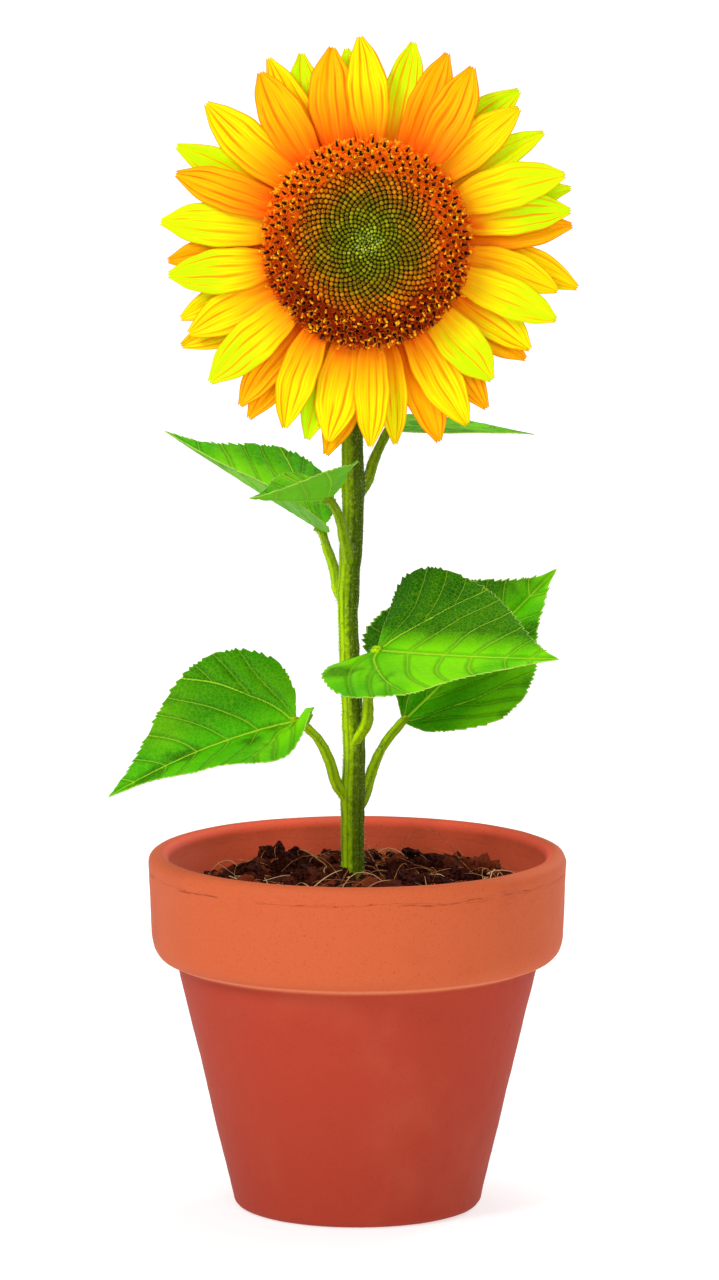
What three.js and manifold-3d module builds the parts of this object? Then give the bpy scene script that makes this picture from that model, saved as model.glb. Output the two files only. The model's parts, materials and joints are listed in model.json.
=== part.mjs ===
// A potted sunflower: a terracotta pot with its soil, one upright stem, six stalked leaves and a single
// flower head. Units are millimetres, +Z is up, the front of the flower looks along -Y, and the origin
// is the centre of the pot's flat underside.
//
// Four kinds of solid make the plant, each bent or turned from a three.js geometry:
//   turned pieces   pot, soil, disc and calyx, each a lathe profile that starts and ends on its axis
//   limbs           stem and petioles, each a cylinder bent along a curve and tapered
//   leaf blades     each a sphere flattened into a heart-shaped outline and folded along its midrib
//   ray florets     each a thin box bent to a petal, in four overlapping layers round the disc
import * as THREE from "three";
import { mergeVertices } from "three/addons/utils/BufferGeometryUtils.js";
import Module from "manifold-3d";

const wasm = await Module();
wasm.setup();

// ---------------------------------------------------------------- driving dimensions

const GAP = 0.4; // clearance between pieces that touch on the real plant

const POT = {
  footRadius: 54,
  footKnee: 58.6, // the knees are the radii towards which the rounded corners are drawn
  baseRadius: 59.6,
  baseHeight: 5,
  bodyTopRadius: 86.2,
  bodyTop: 117.3,
  neckKnee: 87,
  rimBottomRadius: 88.6,
  rimBottom: 120.5,
  shoulderKnee: 97.9,
  rimShoulderRadius: 98.4,
  rimShoulder: 132,
  rimRadius: 100,
  rimEdge: 167.1,
  mouthRadius: 90.2,
  floorRadius: 50,
  floor: 12,
  arcSteps: 3,
  segments: 40,
};

const SOIL = { edge: 150, crown: 158.8, wallClearance: 0.8, segments: 32 };

// The mound of the soil: shares of the radius and of the rise from its edge to its crown.
const MOUND = [
  [1, 0],
  [0.82, 0.39],
  [0.5, 0.75],
  [0.25, 1],
  [0, 1],
];

// Half sections of the flower's disc and of the green calyx behind it: radius and height in the head's
// own frame, from the axis round to the axis again.
const DISC_SECTION = [
  [0, -2],
  [46, -2],
  [48, 2],
  [46, 6],
  [40, 8],
  [33, 6],
  [17, 5],
  [0, 3],
];
const CALYX_SECTION = [
  [0, -34],
  [7.6, -34],
  [16, -30],
  [32, -24],
  [44.4, -17],
  [43.4, -15],
  [39.4, -14.6],
  [39.4, -2.4],
  [0, -2.4],
];

const HEAD = {
  centre: new THREE.Vector3(4.5, -30, 468),
  tiltUp: THREE.MathUtils.degToRad(6.65),
  depth: 34, // from the centre of the florets back to the end of the calyx
  stemClearance: 1.2,
  segments: 32,
};

const RAY = {
  rootRadius: 40.2, // where every ray starts, hidden behind the edge of the disc
  frontLayer: -4,
  layerStep: 2.6,
  thickness: 1.2,
  dish: 0.5, // how far the long edges stand forward of the middle
  lean: 3, // how far the tips of the front layer fall back
  leanStep: 1.2,
  stations: 6,
};

// Share of a ray's full width at equal steps from its root to its tip.
const RAY_PROFILE = [0.36, 0.68, 0.9, 1, 0.94, 0.66, 0.08];

const BLADE = { thickness: 1.4, spokes: 24, rings: 6, heart: 0.3 };

// Half of a leaf's outline from the tip round to the notch at the stalk: shares of length and half-width.
const BLADE_OUTLINE = [
  [1, 0],
  [0.9, 0.09],
  [0.76, 0.29],
  [0.6, 0.58],
  [0.43, 0.86],
  [0.24, 1],
  [0.08, 0.92],
  [-0.02, 0.68],
  [-0.04, 0.38],
  [-0.02, 0.14],
  [0, 0],
];

const ROUGHNESS = { clay: 0.75, soil: 0.95, stem: 0.7, blade: 0.55, disc: 0.8, ray: 0.55 };

const COLOURS = {
  clay: "#d9673c",
  soil: "#3a241a",
  stem: "#6c8420",
  leaf: "#3f9410",
  disc: "#8a4a12",
  lemon: "#f2e21a",
  gold: "#fbbf14",
  orange: "#fb9a12",
};

// ---------------------------------------------------------------- the plant's own measures

// Centre line of the stem from the soil to the back of the head, with its radius at each point.
const STEM = {
  route: [
    [-2.4, 0, SOIL.crown + GAP],
    [-2.3, 0.5, 197],
    [-1.6, 1, 221],
    [-4, 1.5, 268],
    [-4.5, 2.5, 293],
    [-2.1, 4, 337],
    [-2.4, 7, 376],
    [0, 13, 420],
    [3.4, 18.5, 447],
    [4.5, 15, 461.5],
  ],
  radii: [5, 5.6, 5.3, 4.9, 4.8, 5.1, 5.1, 5.2, 5.6, 6.2, 6.4],
  sides: 12,
  steps: 26,
};

// One row for each leaf. The petiole runs from inside the stem to the joint, which is the last point of
// its route; the midrib is a bow from the joint, drawn towards the knee, to the tip. left and right are
// the halves of the blade, seen from the joint with the upper face up: the direction in which each one
// spreads, its width, and how far its widest part (sweep) and the middle of its base (tuck) lie ahead, as
// shares of the leaf's length.
const LEAVES = [
  {
    name: "lower_left",
    petiole: [[-3, 0, 195], [-10, -3, 205.5], [-13.5, -6, 217], [-18.8, -8.5, 228], [-28.8, -12, 237]],
    knee: [-73, -26, 230.5],
    tip: [-119, -44, 205.5],
    left: { spread: [0.3, -0.95, -0.1], width: 44, sweep: 0.04 },
    right: { spread: [-0.3, 0.5, 0.8], width: 44.5, sweep: 0.02 },
  },
  {
    name: "lower_right",
    petiole: [[-1.5, 1, 190], [3.5, 4, 199], [8, 8.5, 212], [14.2, 12.5, 223.7], [21.6, 15, 232]],
    knee: [58, 38, 263.5],
    tip: [97, 62, 300],
    left: { spread: [-0.5, -0.3, 0.81], width: 51, sweep: -0.04, tuck: 0.12 },
    right: { spread: [0.7, -0.7, -0.14], width: 48, sweep: 0.14 },
  },
  {
    name: "middle_right",
    petiole: [[-1.5, -1, 225], [4.4, -5.5, 235], [5.2, -8, 247], [6.2, -11, 258], [8.8, -14, 271.5]],
    knee: [52, -44, 272.7],
    tip: [95.5, -74, 277],
    left: { spread: [0.41, 0.585, 0.7], width: 51, sweep: -0.15, tuck: 0.07 },
    right: { spread: [-0.56, -0.77, -0.33], width: 46, sweep: 0, tuck: -0.09 },
  },
  {
    name: "upper_left_back",
    petiole: [[-4.2, 2.5, 290], [-9, 5, 297], [-11, 8, 307], [-14.5, 10.5, 316.5], [-17.6, 12, 325.5]],
    knee: [-52.5, 13, 347],
    tip: [-93, 16, 373.5],
    left: { spread: [0.1, -0.94, 0.3], width: 26, sweep: 0 },
    right: { spread: [0.28, 0.82, 0.5], width: 38, sweep: 0.05 },
  },
  {
    name: "upper_left_front",
    petiole: [[-3.5, 3, 310], [-5.2, -5, 319], [-6.6, -9, 326], [-9, -12, 336], [-13.9, -15, 344.3]],
    knee: [-32.8, -31, 344.5],
    tip: [-51.5, -46, 349.5],
    left: { spread: [0.62, -0.45, 0.7], width: 27, sweep: -0.2 },
    right: { spread: [-0.47, 0.67, 0.58], width: 20, sweep: 0 },
  },
  {
    name: "upper_right",
    petiole: [[-1.5, 5, 341], [4.4, 9, 349], [8, 13, 359], [11.3, 17, 366], [16.5, 19, 374.5]],
    knee: [46.5, 28, 375],
    tip: [85.5, 38, 368],
    left: { spread: [0, 1, 0.02], width: 31, sweep: 0 },
    right: { spread: [0, -1, 0.02], width: 31, sweep: 0 },
  },
];

const PETIOLE = { rootRadius: 3, tipRadius: 2, trim: 0.8, sides: 8, steps: 8 };

// The ray florets clockwise from the top, seen from the front. Each row holds the angle of the tip in
// degrees, its distance from the centre, the angle of the root, the full width, the layer (0 is the
// front one) and the colour of the upper face.
const RAYS = [
  [-2, 97.5, 2, 18, 0, "gold"],
  [13, 97.5, 14, 17, 2, "lemon"],
  [23, 97.5, 24, 17, 1, "orange"],
  [31, 97, 35, 20, 0, "orange"],
  [45, 102, 41, 19, 3, "lemon"],
  [48.5, 96, 47, 18, 1, "gold"],
  [58, 98.5, 55, 14, 2, "lemon"],
  [71, 99, 66, 20, 0, "lemon"],
  [75, 100, 72, 14, 3, "lemon"],
  [81, 97.5, 77, 19, 1, "lemon"],
  [85, 97.5, 85, 16.5, 2, "orange"],
  [102, 102, 94, 17, 3, "gold"],
  [104, 93, 98, 16.5, 1, "gold"],
  [112, 96.5, 110, 18, 0, "lemon"],
  [123, 92, 119, 18, 2, "gold"],
  [126, 93, 127, 15, 3, "orange"],
  [137.5, 87.5, 136, 20, 0, "lemon"],
  [144, 96.5, 143, 16.5, 2, "orange"],
  [151, 98, 152, 19, 1, "gold"],
  [160, 100, 158, 18, 3, "orange"],
  [172, 96, 169, 13, 2, "gold"],
  [179, 96, 177.5, 15.5, 0, "gold"],
  [191, 102, 186, 17, 3, "orange"],
  [191, 95.5, 191, 20, 1, "gold"],
  [197, 97, 198, 15.5, 2, "lemon"],
  [204, 95.5, 210, 17, 0, "gold"],
  [218, 97.5, 220, 16, 2, "orange"],
  [214, 100, 215, 16, 3, "orange"],
  [228.5, 99, 230, 20, 0, "lemon"],
  [241, 100.5, 238, 17, 3, "gold"],
  [243, 94.5, 244, 19, 1, "gold"],
  [248, 95, 250, 15, 2, "gold"],
  [261, 95, 258, 20, 0, "lemon"],
  [265, 94.5, 267, 16, 2, "orange"],
  [276, 98, 278, 20, 1, "lemon"],
  [290, 96, 291, 18, 0, "orange"],
  [297, 101, 298, 16, 2, "lemon"],
  [311, 100.5, 309, 20, 1, "gold"],
  [328, 95, 325, 20, 0, "orange"],
  [332, 99, 331, 16, 2, "gold"],
  [341, 95, 334, 17, 3, "lemon"],
  [350, 94, 344, 21, 1, "orange"],
  [354, 92.5, 354, 14, 3, "lemon"],
];

// ---------------------------------------------------------------- shared helpers

const vector = (values) => new THREE.Vector3(...values);

const material = (colour, roughness) =>
  new THREE.MeshStandardMaterial({ color: colour, roughness, metalness: 0 });

/** A named mesh, one solid of the plant. */
function piece(name, geometry, colour, roughness) {
  const mesh = new THREE.Mesh(geometry, material(colour, roughness));
  mesh.name = name;
  return mesh;
}

/** Moves every vertex of a geometry to the place that a function of its old position gives. */
function bend(geometry, place) {
  const position = geometry.getAttribute("position");
  const old = new THREE.Vector3();
  for (let i = 0; i < position.count; i += 1) {
    const { x, y, z } = place(old.fromBufferAttribute(position, i));
    position.setXYZ(i, x, y, z);
  }
  geometry.computeVertexNormals();
  return geometry;
}

/** A list of radius and height pairs as the points of a profile. */
const section = (rows) => rows.map(([radius, height]) => new THREE.Vector2(radius, height));

/** Turns a profile of radius and height round the Z axis. */
function turned(profile, segments) {
  return new THREE.LatheGeometry(profile, segments).rotateX(Math.PI / 2);
}

/** A value read at the share t of an evenly spaced list. */
function readAlong(list, t) {
  const at = THREE.MathUtils.clamp(t, 0, 1) * (list.length - 1);
  const low = Math.min(Math.floor(at), list.length - 2);
  return THREE.MathUtils.lerp(list[low], list[low + 1], at - low);
}

/** A geometry as a manifold-3d solid. */
function solidOf(geometry) {
  const plain = new THREE.BufferGeometry();
  plain.setAttribute("position", geometry.getAttribute("position").clone());
  plain.setIndex(geometry.index);
  const merged = mergeVertices(plain, 1e-3);
  return new wasm.Manifold(
    new wasm.Mesh({
      numProp: 3,
      vertProperties: new Float32Array(merged.getAttribute("position").array),
      triVerts: new Uint32Array(merged.index.array),
    }),
  );
}

/** What is left of one geometry after another is cut away. */
function cutAway(geometry, tool) {
  const mesh = solidOf(geometry).subtract(solidOf(tool)).getMesh();
  const left = new THREE.BufferGeometry();
  left.setAttribute("position", new THREE.BufferAttribute(mesh.vertProperties, 3));
  left.setIndex(new THREE.BufferAttribute(mesh.triVerts, 1));
  left.computeVertexNormals();
  return left;
}

/** A cylinder bent along a curve, with a radius for each share of its length. */
function limb(curve, radiusAt, sides, steps) {
  const frames = curve.computeFrenetFrames(steps, false);
  return bend(new THREE.CylinderGeometry(1, 1, 1, sides, steps), (point) => {
    const share = point.y + 0.5;
    const step = Math.round(share * steps);
    const normal = frames.normals[step];
    const across = new THREE.Vector3().crossVectors(normal, frames.tangents[step]);
    const radius = radiusAt(share);
    return curve
      .getPointAt(share)
      .addScaledVector(normal, point.x * radius)
      .addScaledVector(across, point.z * radius);
  });
}

// ---------------------------------------------------------------- pot and soil

function potProfile() {
  const lip = (POT.rimRadius - POT.mouthRadius) / 2;
  const path = new THREE.Path();
  path.moveTo(0, 0);
  path.lineTo(POT.footRadius, 0);
  path.quadraticCurveTo(POT.footKnee, 0, POT.baseRadius, POT.baseHeight);
  path.lineTo(POT.bodyTopRadius, POT.bodyTop);
  path.quadraticCurveTo(POT.neckKnee, POT.rimBottom, POT.rimBottomRadius, POT.rimBottom);
  path.quadraticCurveTo(POT.shoulderKnee, POT.rimBottom, POT.rimShoulderRadius, POT.rimShoulder);
  path.lineTo(POT.rimRadius, POT.rimEdge);
  path.absarc(POT.mouthRadius + lip, POT.rimEdge, lip, 0, Math.PI, false);
  path.lineTo(POT.floorRadius, POT.floor);
  path.lineTo(0, POT.floor);
  return path.getPoints(POT.arcSteps);
}

/** Radius of the pot's inner wall at a height. */
function innerRadius(height) {
  const share = (height - POT.floor) / (POT.rimEdge - POT.floor);
  return THREE.MathUtils.lerp(POT.floorRadius, POT.mouthRadius, share);
}

function soilProfile() {
  const bottom = POT.floor + GAP;
  const wall = (height) => innerRadius(height) - SOIL.wallClearance;
  const mound = MOUND.map(([share, rise]) => [
    wall(SOIL.edge) * share,
    THREE.MathUtils.lerp(SOIL.edge, SOIL.crown, rise),
  ]);
  return section([[0, bottom], [wall(bottom), bottom], ...mound]);
}

// ---------------------------------------------------------------- stem and leaves

function stemCurve() {
  const back = HEAD.centre.clone().addScaledVector(facing(), -HEAD.depth - HEAD.stemClearance);
  return new THREE.CatmullRomCurve3([...STEM.route.map(vector), back]);
}

/** The stem, or with a margin the tool that cuts the petioles' roots clear of it. */
function stemLimb(margin = 0) {
  return limb(stemCurve(), (share) => readAlong(STEM.radii, share) + margin, STEM.sides, STEM.steps);
}

function petioleLimb(leaf) {
  const route = leaf.petiole.map(vector);
  const curve = new THREE.CatmullRomCurve3(route);
  const end = curve.getPointAt(1 - PETIOLE.trim / curve.getLength());
  const trimmed = new THREE.CatmullRomCurve3([...route.slice(0, -1), end]);
  const radiusAt = (share) => THREE.MathUtils.lerp(PETIOLE.rootRadius, PETIOLE.tipRadius, Math.sqrt(share));
  return limb(trimmed, radiusAt, PETIOLE.sides, PETIOLE.steps);
}

/** Place on a leaf's bent blade of a point of its flat outline, raised by a height off the upper face. */
function leafPoint(leaf, along, across, raised) {
  const joint = vector(leaf.petiole.at(-1));
  const midrib = new THREE.QuadraticBezierCurve3(joint, vector(leaf.knee), vector(leaf.tip));
  const half = across >= 0 ? leaf.left : leaf.right;
  const shift = half.sweep * Math.abs(across) + (half.tuck ?? 0) * Math.sin(Math.PI * Math.abs(across));
  const ahead = along + shift * (1 - along);
  const share = THREE.MathUtils.clamp(ahead, 0, 1);
  const tangent = midrib.getTangent(share);
  const spread = vector(half.spread);
  spread.addScaledVector(tangent, -spread.dot(tangent)).normalize();
  const normal = new THREE.Vector3().crossVectors(tangent, spread);
  normal.multiplyScalar(across >= 0 ? 1 : -1);
  return midrib
    .getPoint(share)
    .addScaledVector(tangent, Math.min(ahead, 0) * joint.distanceTo(vector(leaf.tip)))
    .addScaledVector(spread, Math.abs(across) * half.width)
    .addScaledVector(normal, raised);
}

/** A sphere flattened into the heart-shaped outline, then laid along the leaf's folded blade. */
function bladeGeometry(leaf) {
  const outline = new THREE.SplineCurve(BLADE_OUTLINE.map(([x, y]) => new THREE.Vector2(x, y)));
  const sphere = new THREE.SphereGeometry(1, BLADE.spokes, BLADE.rings).rotateX(Math.PI / 2);
  return bend(sphere, (point) => {
    const reach = 1 - Math.asin(Math.min(Math.abs(point.z), 1)) / (Math.PI / 2);
    const turn = Math.abs(Math.atan2(point.y, point.x)) / Math.PI;
    const edge = outline.getPoint(turn);
    const along = BLADE.heart + (edge.x - BLADE.heart) * reach;
    const across = edge.y * reach * Math.sign(point.y);
    return leafPoint(leaf, along, across, (point.z * BLADE.thickness) / 2);
  });
}

// ---------------------------------------------------------------- flower head

/** The direction in which the flower looks. */
function facing() {
  return new THREE.Vector3(0, -Math.cos(HEAD.tiltUp), Math.sin(HEAD.tiltUp));
}

/** A thin box bent to one ray floret in the head's own frame, which looks along +Z. */
function rayGeometry([tipAngle, reach, rootAngle, width, layer]) {
  const box = new THREE.BoxGeometry(1, 1, 1, 2, RAY.stations, 1);
  const toward = (degrees, radius) => {
    const angle = THREE.MathUtils.degToRad(degrees);
    return new THREE.Vector2(Math.sin(angle), Math.cos(angle)).multiplyScalar(radius);
  };
  const root = toward(rootAngle, RAY.rootRadius);
  const tip = toward(tipAngle, reach);
  const knee = toward(rootAngle, (RAY.rootRadius + reach) / 2);
  const spine = new THREE.QuadraticBezierCurve(root, knee, tip);
  return bend(box, (point) => {
    const share = point.y + 0.5;
    const across = point.x * 2;
    const middle = spine.getPoint(share);
    const along = spine.getTangent(share);
    const side = (across * width * readAlong(RAY_PROFILE, share)) / 2;
    const depth = RAY.frontLayer - layer * RAY.layerStep - (RAY.lean + layer * RAY.leanStep) * share ** 2;
    return new THREE.Vector3(
      middle.x + along.y * side,
      middle.y - along.x * side,
      depth + RAY.dish * across ** 2 + point.z * RAY.thickness,
    );
  });
}

// ---------------------------------------------------------------- the whole plant

const plant = new THREE.Group();
plant.name = "potted_sunflower";
plant.add(piece("pot", turned(potProfile(), POT.segments), COLOURS.clay, ROUGHNESS.clay));
plant.add(piece("soil", turned(soilProfile(), SOIL.segments), COLOURS.soil, ROUGHNESS.soil));
plant.add(piece("stem", stemLimb(), COLOURS.stem, ROUGHNESS.stem));

const petioleCutter = stemLimb(GAP);
for (const leaf of LEAVES) {
  const petiole = cutAway(petioleLimb(leaf), petioleCutter);
  plant.add(piece(`petiole_${leaf.name}`, petiole, COLOURS.stem, ROUGHNESS.stem));
  plant.add(piece(`leaf_${leaf.name}`, bladeGeometry(leaf), COLOURS.leaf, ROUGHNESS.blade));
}

const head = new THREE.Group();
head.position.copy(HEAD.centre);
head.rotation.x = Math.PI / 2 - HEAD.tiltUp;
head.add(piece("calyx", turned(section(CALYX_SECTION), HEAD.segments), COLOURS.leaf, ROUGHNESS.stem));
head.add(piece("disc", turned(section(DISC_SECTION), HEAD.segments), COLOURS.disc, ROUGHNESS.disc));
RAYS.forEach((row, index) => {
  const name = `ray_${String(index + 1).padStart(2, "0")}`;
  head.add(piece(name, rayGeometry(row), COLOURS[row.at(-1)], ROUGHNESS.ray));
});
plant.add(head);

export default plant;
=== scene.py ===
"""A potted sunflower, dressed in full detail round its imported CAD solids.

Places are metres in the part's own frame: +Z up, the flower looking along -Y, the origin at the centre
of the pot's flat underside. Sizes are given in millimetres and turned to metres as they are used. Each
assembly is a class that builds its own meshes and gives them their finish.
"""

import json
import logging
import math
from dataclasses import dataclass, field
from enum import Enum
from typing import Any, Mapping, Sequence

import bmesh
import bpy
import numpy as np
from mathutils import Matrix, Vector


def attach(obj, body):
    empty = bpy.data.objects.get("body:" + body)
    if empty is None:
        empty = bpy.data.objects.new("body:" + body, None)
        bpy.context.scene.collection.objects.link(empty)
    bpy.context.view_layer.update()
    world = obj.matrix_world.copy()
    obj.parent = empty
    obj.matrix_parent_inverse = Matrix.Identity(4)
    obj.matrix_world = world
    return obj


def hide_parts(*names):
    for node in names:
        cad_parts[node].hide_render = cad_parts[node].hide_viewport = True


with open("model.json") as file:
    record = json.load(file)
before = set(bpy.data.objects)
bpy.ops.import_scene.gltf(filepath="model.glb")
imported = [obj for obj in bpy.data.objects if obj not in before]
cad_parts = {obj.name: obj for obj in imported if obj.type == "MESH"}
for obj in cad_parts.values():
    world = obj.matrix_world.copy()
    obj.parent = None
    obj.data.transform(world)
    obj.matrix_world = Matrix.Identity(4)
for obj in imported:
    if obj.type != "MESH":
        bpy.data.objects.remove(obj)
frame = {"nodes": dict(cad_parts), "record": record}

log = logging.getLogger("sunflower")

Array = np.ndarray
BMesh = bmesh.types.BMesh
Mesh = bpy.types.Mesh
Tree = bpy.types.NodeTree
Socket = bpy.types.NodeSocket
Colour = tuple[float, float, float, float]

MM = 0.001
GOLDEN_ANGLE = math.pi * (3 - math.sqrt(5))
# The widest random turn of a scattered piece, in radians.
ANY_TURN = 6.28
UV_NAME = "lay"


class Slot(Enum):
    """The record's material slots."""

    TERRACOTTA = "terracotta"
    SOIL = "soil"
    STEM = "stem_green"
    LEAF = "leaf_green"
    CALYX = "calyx_green"
    FLORETS = "florets"
    LEMON = "petal_lemon"
    GOLD = "petal_gold"
    ORANGE = "petal_orange"


# ------------------------------------------------------------------ shader helpers


def linear(hex_colour: str) -> Colour:
    """The linear colour of an sRGB hex colour.

    Args:
        hex_colour: A colour such as "#c05a3c".

    Returns:
        Linear red, green, blue and a full alpha.
    """
    shares = [int(hex_colour[i : i + 2], 16) / 255 for i in (1, 3, 5)]
    red, green, blue = (
        s / 12.92 if s <= 0.04045 else ((s + 0.055) / 1.055) ** 2.4 for s in shares
    )
    return red, green, blue, 1.0


def add(
    tree: Tree,
    kind: str,
    settings: Mapping[str, Any] | None = None,
    inputs: Mapping[int | str, Any] | None = None,
) -> bpy.types.Node:
    """Adds one shader node.

    Args:
        tree: The tree that takes the node.
        kind: The node's type without its "ShaderNode" prefix.
        settings: The node's own settings; "stops" fills a colour ramp with (place, hex colour) pairs.
        inputs: For each input either a plain value or the output socket that feeds it.

    Returns:
        The node.
    """
    node = tree.nodes.new("ShaderNode" + kind)
    for name, value in (settings or {}).items():
        if name == "stops":
            ramp = node.color_ramp
            while len(ramp.elements) < len(value):
                ramp.elements.new(1.0)
            for element, (place, colour) in zip(ramp.elements, value):
                element.position = place
                element.color = linear(colour)
        else:
            setattr(node, name, value)
    for key, value in (inputs or {}).items():
        if isinstance(value, Socket):
            tree.links.new(value, node.inputs[key])
        else:
            node.inputs[key].default_value = value
    return node


class Finish:
    """A surface finish; each kind mixes the inputs of one principled shader."""

    name: str

    def mix(self, tree: Tree) -> dict[str, Any]:
        """Builds the finish's nodes.

        Args:
            tree: The material's node tree.

        Returns:
            The principled shader's inputs, as values or sockets.
        """
        raise NotImplementedError

    def material(self) -> bpy.types.Material:
        """The finish's material, made on first use.

        Returns:
            The material.
        """
        known = bpy.data.materials.get(self.name)
        if known:
            return known
        made = bpy.data.materials.new(self.name)
        made.use_nodes = True
        made.node_tree.nodes.clear()
        shader = add(made.node_tree, "BsdfPrincipled", None, self.mix(made.node_tree))
        add(made.node_tree, "OutputMaterial", None, {"Surface": shader.outputs[0]})
        return made


def place_of(tree: Tree) -> Socket:
    """The surface point in the object's own metres."""
    return add(tree, "TexCoord").outputs["Object"]


def noise_of(tree: Tree, size: float, detail: float = 3.0, stretch: Sequence[float] = (1, 1, 1)) -> Socket:
    """Cloudy noise in the object's own space.

    Args:
        tree: The tree that takes the nodes.
        size: Size of one cloud in millimetres.
        detail: How many finer octaves it holds.
        stretch: How many times longer the clouds are along each axis.

    Returns:
        A value of about 0.25 to 0.75.
    """
    scale = [1 / (size * MM * s) for s in stretch]
    mapped = add(tree, "Mapping", None, {"Vector": place_of(tree), "Scale": scale})
    inputs = {"Vector": mapped.outputs[0], "Scale": 1.0, "Detail": detail}
    return add(tree, "TexNoise", None, inputs).outputs["Fac"]


def value_of(tree: Tree, name: str) -> Socket:
    """A vertex attribute's value."""
    return add(tree, "Attribute", {"attribute_name": name}).outputs["Fac"]


def blend(tree: Tree, share: Any, first: Any, second: Any) -> Socket:
    """Mixes two colours.

    Args:
        tree: The tree that takes the node.
        share: How much of the second colour shows.
        first: A hex colour or a socket.
        second: A hex colour or a socket.

    Returns:
        The mixed colour.
    """
    pair = [linear(c) if isinstance(c, str) else c for c in (first, second)]
    return add(tree, "Mix", {"data_type": "RGBA"}, {0: share, 6: pair[0], 7: pair[1]}).outputs[2]


def reach(tree: Tree, value: Socket, low: float, high: float, top: float = 1.0) -> Socket:
    """Smoothly maps low..high to 0..top.

    Args:
        tree: The tree that takes the node.
        value: The value to map.
        low: Where the result is 0.
        high: Where the result is top.
        top: The largest result.

    Returns:
        The mapped value.
    """
    inputs = {"Value": value, "From Min": low, "From Max": high, "To Min": 0.0, "To Max": top}
    settings = {"interpolation_type": "SMOOTHSTEP"}
    return add(tree, "MapRange", settings, inputs).outputs[0]


def maths(tree: Tree, operation: str, first: Any, second: Any = 0.0) -> Socket:
    """The result of one arithmetic operation on values or sockets."""
    return add(tree, "Math", {"operation": operation}, {0: first, 1: second}).outputs[0]


def raised(tree: Tree, height: Socket, depth: float, strength: float) -> Socket:
    """The shading normal over fine relief.

    Args:
        tree: The tree that takes the node.
        height: Relief of 0 to 1.
        depth: Depth of the relief in millimetres.
        strength: How strongly it shades.

    Returns:
        The normal.
    """
    inputs = {"Height": height, "Distance": depth * MM, "Strength": strength}
    return add(tree, "Bump", None, inputs).outputs[0]


def coat(tone: Any, roughness: float, gloss: float, normal: Socket) -> dict[str, Any]:
    """The principled shader's inputs for a plain opaque coat.

    Args:
        tone: Its colour.
        roughness: From 0 for polished to 1 for matt.
        gloss: The level of its mirror-like sheen.
        normal: The shading normal.

    Returns:
        The inputs by their names.
    """
    return {"Base Color": tone, "Roughness": roughness, "Specular IOR Level": gloss, "Normal": normal}


# ------------------------------------------------------------------ finishes


@dataclass(frozen=True)
class FiredTerracotta(Finish):
    """Unglazed terracotta, pressed in a mould and fired; levels in metres above the foot."""

    name: str = "fired_terracotta"
    body: str = "#aa3720"
    rim: str = "#c75b31"
    rim_highlight: str = "#ec9468"
    bloom: str = "#d07450"
    inner: str = "#e8583a"
    crack: str = "#8a3218"
    deep: str = "#922a18"
    mottle: str = "#8c2a1a"
    grit: str = "#7a2413"
    rim_level: float = 0.1178
    rim_highlight_level: float = 0.1207
    crack_level: float = 0.1602
    roughness: float = 0.7

    def cracked(self, tree: Tree, tone: Any, height: Any, outside: Any) -> Socket:
        """Draws a broken hairline crack round the outside of the rim.

        Args:
            tree: The material's node tree.
            tone: The clay's colour.
            height: The height above the foot.
            outside: 1 on the outer wall and 0 inside.

        Returns:
            The colour with the crack over it.
        """
        drift = maths(tree, "MULTIPLY", noise_of(tree, 34, 5), 0.007)
        line = maths(tree, "SUBTRACT", maths(tree, "SUBTRACT", height, drift), self.crack_level)
        near = reach(tree, maths(tree, "ABSOLUTE", line), 0.0006, 0.00015)
        broken = reach(tree, noise_of(tree, 13, 3), 0.42, 0.6, 0.7)
        share = maths(tree, "MULTIPLY", maths(tree, "MULTIPLY", near, outside), broken)
        return blend(tree, share, tone, self.crack)

    def mix(self, tree: Tree) -> dict[str, Any]:
        """Two tones of clay with kiln mottling, salt bloom, grain, dark hairline cracks, a painted
        highlight under the rim and painted light on the inside wall.

        Args:
            tree: The material's node tree.

        Returns:
            The principled shader's inputs.
        """
        height = add(tree, "SeparateXYZ", None, {0: place_of(tree)}).outputs[2]
        # The inside wall is painted a lighter, brighter clay than the outer body: painted light that
        # lifts the shade inside the pot. The rim is a yellower orange than the body.
        outside = maths(tree, "SUBTRACT", 1.0, value_of(tree, "inside"))
        above = reach(tree, height, self.rim_level, self.rim_level + 0.0022)
        clay = blend(tree, outside, self.inner, self.body)
        tone = blend(tree, maths(tree, "MULTIPLY", above, outside), clay, self.rim)
        # Towards the foot the body stays a deeper red.
        tone = blend(tree, reach(tree, height, 0.09, 0.0, 0.4), tone, self.deep)
        # A pale line along the rim's lower edge is a painted highlight on its rounded fillet.
        edge = maths(tree, "ABSOLUTE", maths(tree, "SUBTRACT", height, self.rim_highlight_level))
        tone = blend(tree, reach(tree, edge, 0.0022, 0.0002, 0.6), tone, self.rim_highlight)
        # Broad kiln mottling and thin bloom break the even clay.
        tone = blend(tree, reach(tree, noise_of(tree, 60), 0.5, 0.8, 0.14), tone, self.bloom)
        tone = blend(tree, reach(tree, noise_of(tree, 25), 0.45, 0.2, 0.14), tone, self.mottle)
        tone = self.cracked(tree, tone, height, outside)
        # The grain, about a millimetre across, is coarser than real so that it can be seen.
        grain = noise_of(tree, 0.9, 4)
        tone = blend(tree, reach(tree, grain, 0.45, 0.25, 0.35), tone, self.grit)
        tone = blend(tree, reach(tree, value_of(tree, "crack"), 0.15, 0.8), tone, self.crack)
        return coat(tone, self.roughness, 0.22, raised(tree, grain, 0.2, 0.3))


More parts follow.
